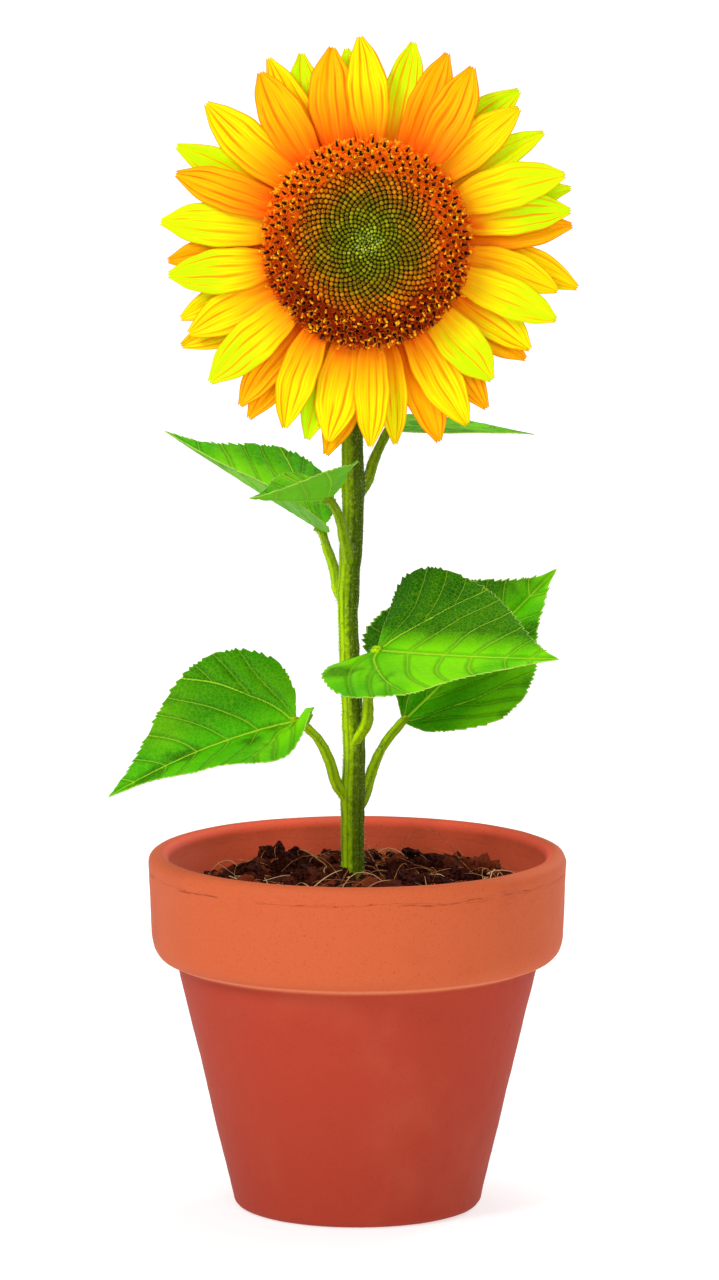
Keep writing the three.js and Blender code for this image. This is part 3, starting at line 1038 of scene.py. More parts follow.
@dataclass
class SoilBed:
    """The potting mix with its crumbs, bark chips and coir; sizes in millimetres.

    Each hump is the x, y, height and spread of a heap on the mound.
    """

    bottom: float = 12.8
    bottom_radius: float = 49.4
    edge: float = 150.0
    crown: float = 158.0
    edge_radius: float = 84.9
    humps: Sequence[tuple[float, float, float, float]] = (
        (27, 30, 6, 10),
        (14, 34, 4.5, 7),
        (46, 30, 3.5, 10),
        (-32, 32, 4.5, 11),
        (-54, 14, 3, 12),
        (22, -22, 3.5, 13),
        (-26, -30, 3, 12),
    )
    lumps: Grit = Grit(420, 147, 2.0, 7.0, 2.0, 1.0, 0.95)
    crumbs: Grit = Grit(2400, 182, 0.6, 1.9, 2.0, 1.2, 0.95)
    clods: Grit = Grit(64, 360, 2.6, 7.0, 1.6, 1.6, 0.88, (0.8, 0.8, 0.7), (0.5, 0.5, 0.4))
    chips: int = 150
    fibres: int = 300

    def surface(self, x: Array, y: Array) -> Array:
        """The height of the bed, all in millimetres.

        Args:
            x: How far to the right.
            y: How far back.

        Returns:
            The height at each place.
        """
        radius = np.hypot(x, y)
        share = np.clip(radius / self.edge_radius, 0, 1)
        mound = self.edge + (self.crown - self.edge) * (1 - share**2)
        rough = np.stack([x, y], axis=1) * MM
        for place_x, place_y, height, spread in self.humps:
            mound = mound + height * np.exp(-((x - place_x) ** 2 + (y - place_y) ** 2) / spread**2)
        return mound + (2.7 * swell(rough, 26, 11) + 1.5 * swell(rough, 10, 12)) * (1 - share**6)

    def bed(self) -> BMesh:
        """The rough mass of the mix, filling the pot.

        Returns:
            One closed mesh.
        """
        rings = np.linspace((self.edge_radius, self.edge), (0.0, self.edge), 54)
        underside = [(0.0, self.bottom), (self.bottom_radius, self.bottom)]
        bm = turned(np.concatenate([underside, rings]), 150)
        points = read_points(bm) / MM
        top = points[:, 2] > self.edge - 1
        points[top, 2] = self.surface(points[top, 0], points[top, 1])
        inner = top & (np.hypot(points[:, 0], points[:, 1]) < self.edge_radius - 1)
        points[inner, 2] += 0.5 * swell(points[inner] * MM, 3.4, 13)
        write_points(bm, points * MM)
        return bm

    def scattered(self, count: int, seed: int, lift: float, outreach: float) -> tuple[Array, Array]:
        """Random places on the bed.

        Args:
            count: How many.
            seed: Picks them.
            lift: How far above the surface they are, in millimetres.
            outreach: How far out they go, as a share of the bed's radius.

        Returns:
            The places in metres, and six random shares for each.
        """
        rng = np.random.default_rng(seed)
        radius = self.edge_radius * outreach * np.sqrt(rng.uniform(0.004, 1, count))
        angle = rng.uniform(0, 2 * math.pi, count)
        x, y = radius * np.cos(angle), radius * np.sin(angle)
        places = np.stack([x, y, self.surface(x, y) + lift], axis=1) * MM
        return places, rng.uniform(0, 1, (count, 6))

    @staticmethod
    def crumb(seed: int, subdivisions: int) -> BMesh:
        """A dented ball of about radius 1.

        Args:
            seed: Picks its dents.
            subdivisions: How finely it is made.

        Returns:
            The ball.
        """
        rng = np.random.default_rng(seed)
        bm = bmesh.new()
        bmesh.ops.create_icosphere(bm, subdivisions=subdivisions, radius=1)
        points = read_points(bm)
        write_points(bm, points * (1 + rng.uniform(-0.28, 0.28, (len(points), 1))))
        return bm

    @staticmethod
    def clod(number: int) -> BMesh:
        """A crumbling clod of about radius 1, with deep clefts.

        Args:
            number: Picks its clefts.

        Returns:
            The clod.
        """
        bm = bmesh.new()
        bmesh.ops.create_icosphere(bm, subdivisions=4, radius=1)
        points = read_points(bm)
        relief = 1.0
        for depth, size, seed in ((0.3, 9, 330), (0.16, 3.4, 340), (0.07, 1.4, 350)):
            relief = relief + depth * swell(points * 0.01, size, seed + number)
        write_points(bm, points * relief[:, None])
        return bm

    def strewn(self, shapes: Sequence[BMesh], grit: Grit) -> BMesh:
        """Lumps scattered over the bed.

        Args:
            shapes: Their shapes, of about radius 1; they are freed.
            grit: How many there are, how large and where.

        Returns:
            One mesh of them all.
        """
        made = []
        for number, shape in enumerate(shapes):
            count = grit.count // len(shapes)
            places, shares = self.scattered(count, grit.seed + number, grit.lift, grit.outreach)
            size = grit.smallest + (grit.largest - grit.smallest) * shares[:, 0] ** grit.rarity
            sizes = size[:, None] * MM * (np.array(grit.squash) + shares[:, 1:4] * grit.spread)
            axes = np.stack([shares[:, 1] - 0.5, shares[:, 2] - 0.5, np.full(count, 0.8)], axis=1)
            turns = shares[:, 4] * ANY_TURN
            made.append(copies(shape, matrices(places, axes, sizes, turns), shares[:, 5]))
        return joined(made)

    def bark(self) -> Mesh:
        """Flat split chips of bark lying at all angles.

        Returns:
            One mesh of them all.
        """
        template = bmesh.new()
        bmesh.ops.create_cube(template, size=1)
        bmesh.ops.subdivide_edges(template, edges=template.edges[:], cuts=1, use_grid_fill=True)
        rng = np.random.default_rng(31)
        dents = rng.uniform(-0.3, 0.3, (len(template.verts), 3))
        write_points(template, read_points(template) * (1 + dents))
        places, shares = self.scattered(self.chips, 32, 1.4, 0.93)
        sizes = (np.array([2, 1.4, 0.7]) + shares[:, :3] * [3.4, 1.8, 0.8]) * MM
        axes = shares[:, 3:6] - [0.5, 0.5, -0.3]
        return copies(template, matrices(places, axes, sizes, shares[:, 2] * ANY_TURN), shares[:, 3])

    def fibre(self, place: Array, share: Array) -> BMesh:
        """One curling fibre.

        Args:
            place: Its middle, in metres.
            share: Its six random shares.

        Returns:
            A thin closed tube that stays inside the pot.
        """
        length = (8 + 30 * share[0] ** 1.8) * MM
        t = np.linspace(-0.5, 0.5, 8)
        heading = share[1] * 2 * math.pi + (share[2] - 0.5) * 1.1 * t * 2
        rise = 0.7 * share[3] ** 2 * t + 1.7 * share[4] ** 2 * (0.25 - t**2) + 0.02
        route = place + polar(t, heading, rise) * length
        middle_distance = np.maximum(np.linalg.norm(route[:, :2], axis=1), 1e-6)
        held_in = np.minimum(0.95 * self.edge_radius * MM / middle_distance, 1)
        route[:, :2] *= held_in[:, None]
        radii = (0.13 + 0.16 * share[5] ** 2) * MM * (1 - 0.8 * np.abs(t))
        bm, _, _ = tube(route, radii, 4)
        cap_ends(bm)
        set_values(bm, "deal", np.full(len(bm.verts), share[5]))
        return bm

    def dress(self) -> None:
        """Shows the bed and what lies on it."""
        lumps = self.strewn([self.crumb(21 + n, 2) for n in range(4)], self.lumps)
        clods = self.strewn([self.clod(n) for n in range(6)], self.clods)
        crumbs = self.strewn([self.crumb(26 + n, 1) for n in range(4)], self.crumbs)
        coir = joined([self.fibre(*pair) for pair in zip(*self.scattered(self.fibres, 41, 1.2, 0.9))])
        show("potting_mix", self.bed(), POTTING_MIX, ["soil"])
        show("soil_lumps", lumps, POTTING_MIX, flat=True)
        show("soil_clods", clods, POTTING_MIX, flat=True)
        show("soil_crumbs", crumbs, POTTING_MIX, flat=True)
        show("bark_chips", self.bark(), BARK, flat=True)
        show("coir_fibres", coir, COIR)


# ------------------------------------------------------------------ stem and petioles


@dataclass
class Limb:
    """A ribbed green limb; sizes in millimetres.

    Each knot is a level at which the limb swells round the root of a stalk.
    """

    route: Sequence[Sequence[float]]
    radii: Sequence[float]
    sides: int = 40
    steps: int = 180
    ribs: int = 11
    depth: float = 0.1
    knots: Sequence[float] = ()
    knot_spread: float = 6.0
    knot_swelling: float = 0.45
    hairs: int = 5200
    hair_length: float = 1.7
    seed: int = 50

    def build(self) -> tuple[BMesh, Mesh]:
        """The limb's skin and its hairs.

        Returns:
            The skin with its ribs and swollen knots, and one mesh of bristles.
        """
        route = smooth(np.array(self.route) * MM, self.steps + 1)
        share = np.linspace(0, 1, self.steps + 1)
        radii = np.interp(share, np.linspace(0, 1, len(self.radii)), self.radii)
        for knot in self.knots:
            nearness = np.exp(-(((route[:, 2] / MM - knot) / self.knot_spread) ** 2))
            radii = radii + self.knot_swelling * nearness
        bm, lay, outward = tube(route, radii * MM, self.sides)
        # The ribs wind a little and get shallower towards the end.
        wave = np.cos(lay[:, 0] * 2 * math.pi * self.ribs + 0.6 * np.sin(lay[:, 1] * 9))
        fade = np.interp(lay[:, 1], [0, 1], [1, 0.7])
        points = read_points(bm)
        relief = self.depth * wave * fade + 0.18 * swell(points, 7, self.seed)
        write_points(bm, points + outward * (relief * MM)[:, None])
        set_values(bm, "rib", 0.5 + 0.5 * wave)
        # The "shade" attribute grows on the side facing +X, away from the key light; the skin paints it as
        # painted shade.
        set_values(bm, "shade", np.clip(0.5 + 0.5 * (outward @ np.array([0.9, 0.1, -0.1])), 0, 1))
        rng = np.random.default_rng(self.seed)
        picked = rng.integers(0, len(points), self.hairs)
        bases = read_points(bm)[picked] + rng.normal(0, 0.25 * MM, (self.hairs, 3))
        hair = bristles(bases, outward[picked], self.hair_length, self.seed + 1)
        cap_ends(bm)
        return bm, hair


@dataclass
class LeafPlan:
    """One leaf and its stalk; sizes in millimetres.

    The stalk runs to the joint, its last point. The midrib is a bow from the joint, drawn towards the
    knee, to the tip. Each half spreads in its own direction and has its own width; its widest part lies
    ahead by the sweep and the middle of its base by the tuck. A roll lifts a half's basal lobe. Each
    half's painted shade says how much darker its green is painted, for a half that lies in shade. Of
    each pair the left half's comes first.
    """

    name: str
    stalk: Sequence[Sequence[float]]
    knee: Sequence[float]
    tip: Sequence[float]
    spreads: tuple[Sequence[float], Sequence[float]]
    widths: tuple[float, float]
    sweeps: tuple[float, float]
    tucks: tuple[float, float] = (0.0, 0.0)
    rolls: tuple[float, float] = (0.0, 0.0)
    half_painted_shades: tuple[float, float] = (0.1, 0.3)
    wave: float = 1.6
    seed: int = 0


LEAF_PLANS = (
    LeafPlan(
        "lower_left",
        [(-3, 0, 195), (-10, -3, 205.5), (-13.5, -6, 217), (-18.8, -8.5, 228), (-28.8, -12, 237)],
        (-73, -26, 230.5),
        (-119, -44, 205.5),
        ((0.3, -0.95, -0.1), (-0.3, 0.5, 0.8)),
        (44, 44.5),
        (0.04, 0.02),
        rolls=(14.0, 0.0),
        half_painted_shades=(0.05, 0.6),
        seed=101,
    ),
    LeafPlan(
        "lower_right",
        [(-1.5, 1, 190), (3.5, 4, 199), (8, 8.5, 212), (14.2, 12.5, 223.7), (21.6, 15, 232)],
        (58, 38, 263.5),
        (97, 62, 300),
        ((-0.5, -0.3, 0.81), (0.7, -0.7, -0.14)),
        (51, 48),
        (-0.04, 0.14),
        tucks=(0.12, 0.0),
        half_painted_shades=(0.85, 0.3),
        seed=102,
    ),
    LeafPlan(
        "middle_right",
        [(-1.5, -1, 225), (4.4, -5.5, 235), (5.2, -8, 247), (6.2, -11, 258), (8.8, -14, 271.5)],
        (52, -44, 272.7),
        (95.5, -74, 277),
        ((0.41, 0.585, 0.7), (-0.56, -0.77, -0.33)),
        (51, 46),
        (-0.15, 0.0),
        tucks=(0.07, -0.09),
        half_painted_shades=(0.88, 0.1),
        seed=103,
    ),
    LeafPlan(
        "upper_left_back",
        [(-4.2, 2.5, 290), (-9, 5, 297), (-11, 8, 307), (-14.5, 10.5, 316.5), (-17.6, 12, 325.5)],
        (-52.5, 13, 347),
        (-93, 16, 373.5),
        ((0.1, -0.94, 0.3), (0.28, 0.82, 0.5)),
        (26, 38),
        (0.0, 0.05),
        wave=1.0,
        seed=104,
    ),
    LeafPlan(
        "upper_left_front",
        [(-3.5, 3, 310), (-5.2, -5, 319), (-6.6, -9, 326), (-9, -12, 336), (-13.9, -15, 344.3)],
        (-32.8, -31, 344.5),
        (-51.5, -46, 349.5),
        ((0.62, -0.45, 0.7), (-0.47, 0.67, 0.58)),
        (27, 20),
        (-0.2, 0.0),
        rolls=(6.0, 0.0),
        wave=0.6,
        seed=105,
    ),
    LeafPlan(
        "upper_right",
        [(-1.5, 5, 341), (4.4, 9, 349), (8, 13, 359), (11.3, 17, 366), (16.5, 19, 374.5)],
        (46.5, 28, 375),
        (85.5, 38, 368),
        ((0, 1, 0.02), (0, -1, 0.02)),
        (31, 31),
        (0.0, 0.0),
        wave=0.8,
        seed=106,
    ),
)

# Half a leaf's outline from the tip round to the notch at the stalk: shares of length and half-width.
LEAF_OUTLINE = (
    (1, 0),
    (0.9, 0.09),
    (0.76, 0.29),
    (0.6, 0.58),
    (0.43, 0.86),
    (0.24, 1),
    (0.08, 0.92),
    (-0.02, 0.68),
    (-0.04, 0.38),
    (-0.02, 0.14),
    (0, 0),
)


@dataclass
class Leaf:
    """A blade with its teeth, veins and quilted panels; sizes in millimetres."""

    plan: LeafPlan
    spokes: int = 180
    rings: int = 40
    heart: float = 0.3
    thickness: float = 0.5
    tooth_pitch: float = 4.3
    tooth_depth: float = 1.7
    vein_pitch: float = 19.0
    vein_wander: float = 2.6
    panel_width: float = 2.6
    quilt: float = 1.1
    small_length: float = 80.0
    full_length: float = 130.0

    def length(self) -> float:
        """The distance from the joint to the tip."""
        return float(np.linalg.norm(np.array(self.plan.tip) - np.array(self.plan.stalk[-1])))

    def outline(self, side: Array, outwards: Array) -> tuple[Array, Array]:
        """Where points of the grid lie on the flat, toothed outline.

        Args:
            side: Each point's turn round the outline: 0 at the tip, 1 and -1 in the notch.
            outwards: Its share of the way from the heart to the edge.

        Returns:
            Its share of the length from the joint, and its signed share of the half-width.
        """
        length, mean_width, steps = self.length(), sum(self.plan.widths) / 2, 400
        small = length < self.small_length
        rim = smooth(np.array(LEAF_OUTLINE, float) * [length, mean_width], steps)
        turn = np.abs(side)
        edge = np.stack([np.interp(turn, np.linspace(0, 1, steps), rim[:, i]) for i in (0, 1)], axis=1)
        edge /= [length, mean_width]
        perimeter = np.linalg.norm(np.diff(rim, axis=0), axis=1).sum()
        pitches = turn * perimeter / (self.tooth_pitch * (0.75 if small else 1.0))
        wobble = 0.6 * np.sin(turn * 37 + self.plan.seed) + 0.4 * np.sin(turn * 61 + side)
        # Each tooth rises and falls back at once; none stand at the tip or in the notch.
        present = np.clip(turn * 14, 0, 1) * np.clip((1 - turn) * 6, 0, 1)
        tooth = (1 - np.mod(pitches + wobble, 1)) ** 1.3 * present
        size = self.tooth_depth * (0.7 if small else 1.0) / mean_width
        reached = outwards**0.8 * (1 + size * (tooth - 0.4) * outwards**10)
        along = self.heart + (edge[:, 0] - self.heart) * reached
        return along, edge[:, 1] * reached * np.sign(side)

    def veins(self, x: Array, signed: Array) -> dict[str, Array]:
        """Where the side veins run.

        Args:
            x: The distance along the midrib.
            signed: The distance from the midrib, positive in the left half.

        Returns:
            How far each point is from the lowest side vein ("basal"), the running count of side veins
            ("phase") and of the basal lobe's veins ("twig"), which are whole on a vein, and how far
            the point is into a panel between veins ("panel", 0 to 1).
        """
        y = np.abs(signed)
        length = self.length()
        wander = swell(np.stack([x, signed], axis=1) * MM, 40, self.plan.seed) * self.vein_wander
        pitch = self.vein_pitch * (0.6 + 0.4 * length / self.full_length)
        main = x - 0.6 * y - 0.014 * y**2 + wander - 0.02 * length
        # Behind the lowest side vein the count stays between veins.
        phase = np.where(main > -0.3 * pitch, np.maximum(main, -0.3 * pitch) / pitch, 0.4)
        lobe = x - 0.35 * y + 0.5 * wander
        spacing = 0.62 * pitch
        twig = np.where((main < 0) & (lobe > -0.5 * spacing), lobe / spacing, 0.4)
        gap = np.minimum(np.abs(phase - np.rint(phase)) * pitch, y)
        lobe_gap = np.minimum(gap, np.abs(twig - np.rint(twig)) * spacing)
        panel = 1 - np.exp(-((np.where(main < 0, lobe_gap, gap) / self.panel_width) ** 2))
        return {"basal": np.abs(main), "phase": phase, "twig": twig, "panel": panel}

    def place(self, along: Array, across: Array) -> tuple[Array, Array]:
        """Where a point of the flat outline lies on the bent blade.

        Args:
            along: Share of the length from the joint.
            across: Signed share of the half-width, positive in the left half.

        Returns:
            The places in millimetres and the upper face's direction there.
        """
        plan = self.plan
        joint, knee, tip = (np.array(p, float) for p in (plan.stalk[-1], plan.knee, plan.tip))
        left = (across >= 0)[:, None]
        shift = np.where(across >= 0, *plan.sweeps) * np.abs(across)
        shift += np.where(across >= 0, *plan.tucks) * np.sin(np.pi * np.abs(across))
        ahead = along + shift * (1 - along)
        share = np.clip(ahead, 0, 1)[:, None]
        tangent = unit(2 * (1 - share) * (knee - joint) + 2 * share * (tip - knee))
        spread = np.where(left, np.array(plan.spreads[0], float), np.array(plan.spreads[1], float))
        spread = unit(spread - tangent * (spread * tangent).sum(axis=1, keepdims=True))
        normal = np.cross(tangent, spread) * np.where(left, 1, -1)
        middle = (1 - share) ** 2 * joint + 2 * share * (1 - share) * knee + share**2 * tip
        width = np.where(across >= 0, *plan.widths)
        back = np.minimum(ahead, 0) * np.linalg.norm(tip - joint)
        return middle + tangent * back[:, None] + spread * (np.abs(across) * width)[:, None], normal

    def build(self) -> BMesh:
        """The blade as a closed thin solid.

        Returns:
            The blade, with the attributes that its skin is painted from.
        """
        plan, length = self.plan, self.length()
        bm, lay = unit_grid(2 * self.spokes, self.rings)
        side, outwards = lay[:, 0] * 2 - 1, lay[:, 1]
        along, across = self.outline(side, outwards)
        places, normal = self.place(along, across)
        x, signed = along * length, across * np.where(side >= 0, *plan.widths)
        y = np.abs(signed)
        marks = self.veins(x, signed)
        marks["rib"] = y + 0.55 * along.clip(0, 1)
        marks["edge"] = outwards
        # Painted shade on one half, by its plan, growing away from the midrib.
        marks["gloom"] = np.where(side >= 0, *plan.half_painted_shades) * np.clip(y / 15, 0, 1)
        inner = np.clip((1 - outwards) * 7, 0, 1)
        quilt = self.quilt * (length / self.full_length) * (marks["panel"] - 0.5) * inner
        ripple = swell(places * MM, 48, plan.seed + 3) * plan.wave * outwards**3
        base = np.clip((0.2 - along) / 0.2, 0, 1) ** 1.5 * np.clip(np.abs(across) / 0.55, 0, 1) ** 2
        roll = np.where(side >= 0, *plan.rolls) * base
        fine = 0.14 * swell(places * MM, 3.6, plan.seed + 5) * inner
        lift = quilt * np.clip(y / 4, 0, 1) + ripple * np.clip(y / 12, 0, 1) + roll + fine
        write_points(bm, (places + normal * lift[:, None]) * MM)
        for name, values in marks.items():
            set_values(bm, name, values)
        close_up(bm)
        face_along(bm, normal.mean(axis=0))
        thicken(bm, self.thickness)
        return bm

    def dress(self) -> None:
        """Shows the blade."""
        name = self.plan.name
        show(f"blade_{name}", self.build(), LeafSkin(), [f"leaf_{name}"])


@dataclass
class Greenery:
    """The stem, the leaves and their stalks."""

    stem_route: Sequence[Sequence[float]] = (
        (-2.4, 0, 150),
        (-2.3, 0.5, 197),
        (-1.6, 1, 221),
        (-4, 1.5, 268),
        (-4.5, 2.5, 293),
        (-2.1, 4, 337),
        (-2.4, 7, 376),
        (0, 13, 420),
        (3.4, 18.5, 447),
        (4.5, 15, 461.5),
        (4.5, -1.5, 464.7),
    )
    stem_radii: Sequence[float] = (5.2, 5.6, 5.3, 4.9, 4.8, 5.1, 5.1, 5.2, 5.6, 6.2, 6.4)
    stem_knots: Sequence[float] = (199, 233, 297, 318, 349)
    stalk_radii: Sequence[float] = (3.0, 2.9, 2.6, 2.35, 2.15, 2.1)
    stalk_overlap: float = 3.0

    def stalk(self, plan: LeafPlan) -> Limb:
        """A leaf's stalk, which runs on a little under the midrib.

        Args:
            plan: The leaf.

        Returns:
            The stalk.
        """
        end = np.array(plan.stalk[-1], float)
        ahead = unit(np.array(plan.knee, float) - end)
        route = [*plan.stalk, (end + ahead * self.stalk_overlap).tolist()]
        return Limb(route, self.stalk_radii, 22, 60, 5, 0.08, hairs=520, seed=plan.seed)

    def dress(self) -> None:
        """Shows the stem, the stalks, the blades and every hair."""
        skin, hair = Limb(self.stem_route, self.stem_radii, knots=self.stem_knots).build()
        show("stem_skin", skin, StemSkin(), ["stem"])
        fuzz = [hair]
        # The stalks take a lighter stem skin with a weaker painted shade on the side away from the key
        # light.
        young = StemSkin("stalk_skin", "#bce400", "#7cac00", gloom=0.45)
        for plan in LEAF_PLANS:
            skin, hair = self.stalk(plan).build()
            show(f"stalk_{plan.name}", skin, young, [f"petiole_{plan.name}"])
            fuzz.append(hair)
            Leaf(plan).dress()
        show("bristles", joined(fuzz), BRISTLE)


# ------------------------------------------------------------------ the flower head


@dataclass
class Head:
    """The frame of the flower head, in which +Z is the way it looks; sizes in millimetres."""

    centre: tuple[float, float, float] = (4.5, -30.0, 468.0)
    tilt: float = 6.65

    def matrix(self) -> Matrix:
        """From the head's own metres to the part's."""
        turn = Matrix.Rotation(math.pi / 2 - math.radians(self.tilt), 4, "X")
        return Matrix.Translation(Vector(self.centre) * MM) @ turn

    def placed(self, places: Array) -> Array:
        """Copies' matrices moved from the head's frame to the part's."""
        return np.array(self.matrix()) @ places

    def outward(self, bm: BMesh) -> BMesh:
        """A mesh moved from the head's frame to the part's."""
        bmesh.ops.transform(bm, matrix=self.matrix(), verts=bm.verts[:])
        return bm


@dataclass
class Rays:
    """The ray florets, each bent along the stations of its CAD solid; sizes in millimetres."""

    head: Head
    columns: int = 14
    rows: int = 34
    thickness: float = 0.4
    lines: int = 7
    breadth: float = 1.06
    notch: float = 0.008
    stations: int = 7
    corners: int = 6

    def measured(self, name: str) -> Array:
        """The left edge, middle and right edge of a CAD ray at its stations.

        Args:
            name: The CAD node.

        Returns:
            An array of station, side and coordinate in the head's own millimetres.
        """
        back = self.head.matrix().inverted()
        found: list[Array] = []
        for vertex in frame["nodes"][name].data.vertices:
            point = np.array(back @ vertex.co) / MM
            if all(np.linalg.norm(point - known) > 0.02 for known in found):
                found.append(point)
        points = np.array(found)
        # The chord from the station next to the disc to the one at the tip puts the others in order.
        order = np.argsort(np.hypot(points[:, 0], points[:, 1]))
        near, far = points[order[: self.corners], :2], points[order[-self.corners :], :2]
        chord = unit(far.mean(axis=0) - near.mean(axis=0))
        lateral = np.array([chord[1], -chord[0]])
        rows = points[np.argsort(points[:, :2] @ chord)].reshape(self.stations, self.corners, 3)
        across = [row[np.argsort(row[:, :2] @ lateral)] for row in rows]
        # At each side the front and the back corner are averaged.
        return np.array([row.reshape(3, 2, 3).mean(axis=1) for row in across])

    def lines_at(self, name: str, along: Array) -> Array:
        """The left edge, middle and right edge of a ray at given shares of its length.

        Args:
            name: The CAD node.
            along: The shares.

        Returns:
            An array of share, side and coordinate.
        """
        count = 90
        curves = smooth(self.measured(name).reshape(self.stations, 9), count)
        steps = np.linspace(0, 1, count)
        return np.stack([np.interp(along, steps, curve) for curve in curves.T], axis=1).reshape(-1, 3, 3)

    def petal(self, name: str, seed: int) -> BMesh:
        """One ray floret with its furrows, rolled edges and notched tip.

        Args:
            name: The CAD node that it stands for.
            seed: Picks its twist, droop and cup.

        Returns:
            The petal as a closed thin solid.
        """
        rng = np.random.default_rng(seed)
        bm, lay = unit_grid(self.columns, self.rows)
        side, tip = lay[:, 0] * 2 - 1, lay[:, 1] ** 16
        notch = self.notch * (np.cos(side * 2 * math.pi + rng.uniform(-0.8, 0.8)) - 1) * tip
        along = np.clip(lay[:, 1] ** 0.92 + notch, 0, 1)
        left, middle, right = self.lines_at(name, along).transpose(1, 0, 2)
        edge = np.where((side < 0)[:, None], left, right)
        broad = self.breadth + 0.25 * np.clip((along - 0.9) / 0.1, 0, 1) ** 2
        rough = 1 + 0.025 * np.sin(along * 23 + seed) * np.abs(side)
        points = middle + (edge - middle) * (np.abs(side) * broad * rough)[:, None]
        rib = np.cos(side * math.pi * self.lines / 2 + rng.uniform(-0.5, 0.5))
        body = np.clip(along * 5, 0, 1) * np.clip((1.04 - along) * 4, 0, 1)
        cup = rng.uniform(0.3, 1.3) * side**2 * body
        twist = rng.uniform(-0.9, 0.9) * side * along
        droop = rng.uniform(-1.2, 1.2) * along**2
        furrow = -0.7 * np.exp(-((side / 0.3) ** 2)) * body
        wring = 0.25 * np.sin(along * 9 + rng.uniform(0, 6)) * side
        points[:, 2] += 0.28 * rib * body + furrow + cup + twist + droop + wring - 0.1
        write_points(bm, points * MM)
        set_values(bm, "deal", np.full(len(bm.verts), rng.uniform()))
        face_along(bm, np.array([0, 0, 1]))
        thicken(bm, self.thickness)
        return self.head.outward(bm)

    def dress(self) -> None:
        """Shows the rays, joined by tint; the tints are mostly painted light and shade."""
        # The three tints are mostly painted light, partly the rays' own colour: lemon rays are painted
        # lit, gold ones half lit and orange ones in painted shade.
        skins = {
            Slot.LEMON: RaySkin("ray_skin_lit_lemon", "#f66c00", "#eed800", "#c4fa00", "#f79000"),
            Slot.GOLD: RaySkin("ray_skin_half_lit_gold", "#f46000", "#fcb800", "#eae400", "#f58000"),
            Slot.ORANGE: RaySkin("ray_skin_shaded_orange", "#f05400", "#fa9400", "#fcb800", "#f06a00"),
        }
        subparts = frame["record"]["subparts"]
        for slot, skin in skins.items():
            names = [part["node"] for part in subparts if part["material_slot"] == slot.value]
            petals = [self.petal(name, 200 + int(name[-2:])) for name in names]
            show(f"rays_{slot.value}", joined(petals), skin, names)


@dataclass(frozen=True)
class BudRing:
    """A ring of closed buds between two radii, with its size of bud and its three tints."""

    name: str
    low: float
    high: float
    size: float
    colour: str
    shade: str
    light: str


BUD_RINGS = (
    BudRing("centre", -9, 8, 0.9, "#8a9c10", "#4a5c04", "#bcc42c"),
    BudRing("inner", 8, 17, 0.94, "#808000", "#444800", "#a09e06"),
    BudRing("middle", 17, 24, 0.95, "#907800", "#563e00", "#ac8c06"),
    BudRing("outer", 24, 30, 0.96, "#bc7800", "#6c3400", "#d48c04"),
    BudRing("rim", 30, 50, 0.97, "#d07000", "#7c2c00", "#ec8c08"),
)
# Dark anthers fleck the open ring, golden stigmas light it up, and pale scales break the centre.
ANTHER = Matter("anther_skin", "#2c0c06", "#100402", 0.45, 0.8, 0.1, "#561c0c", 0.1)
STIGMA = Matter("stigma_skin", "#ffb010", "#f88400", 0.55, 0.8, 0.1, "#ffc81c", 0.08)
CENTRE_SCALE = Matter("centre_scale_skin", "#a8b840", "#4c5c10", 0.55, 0.8, 0.1, "#dce8a0")


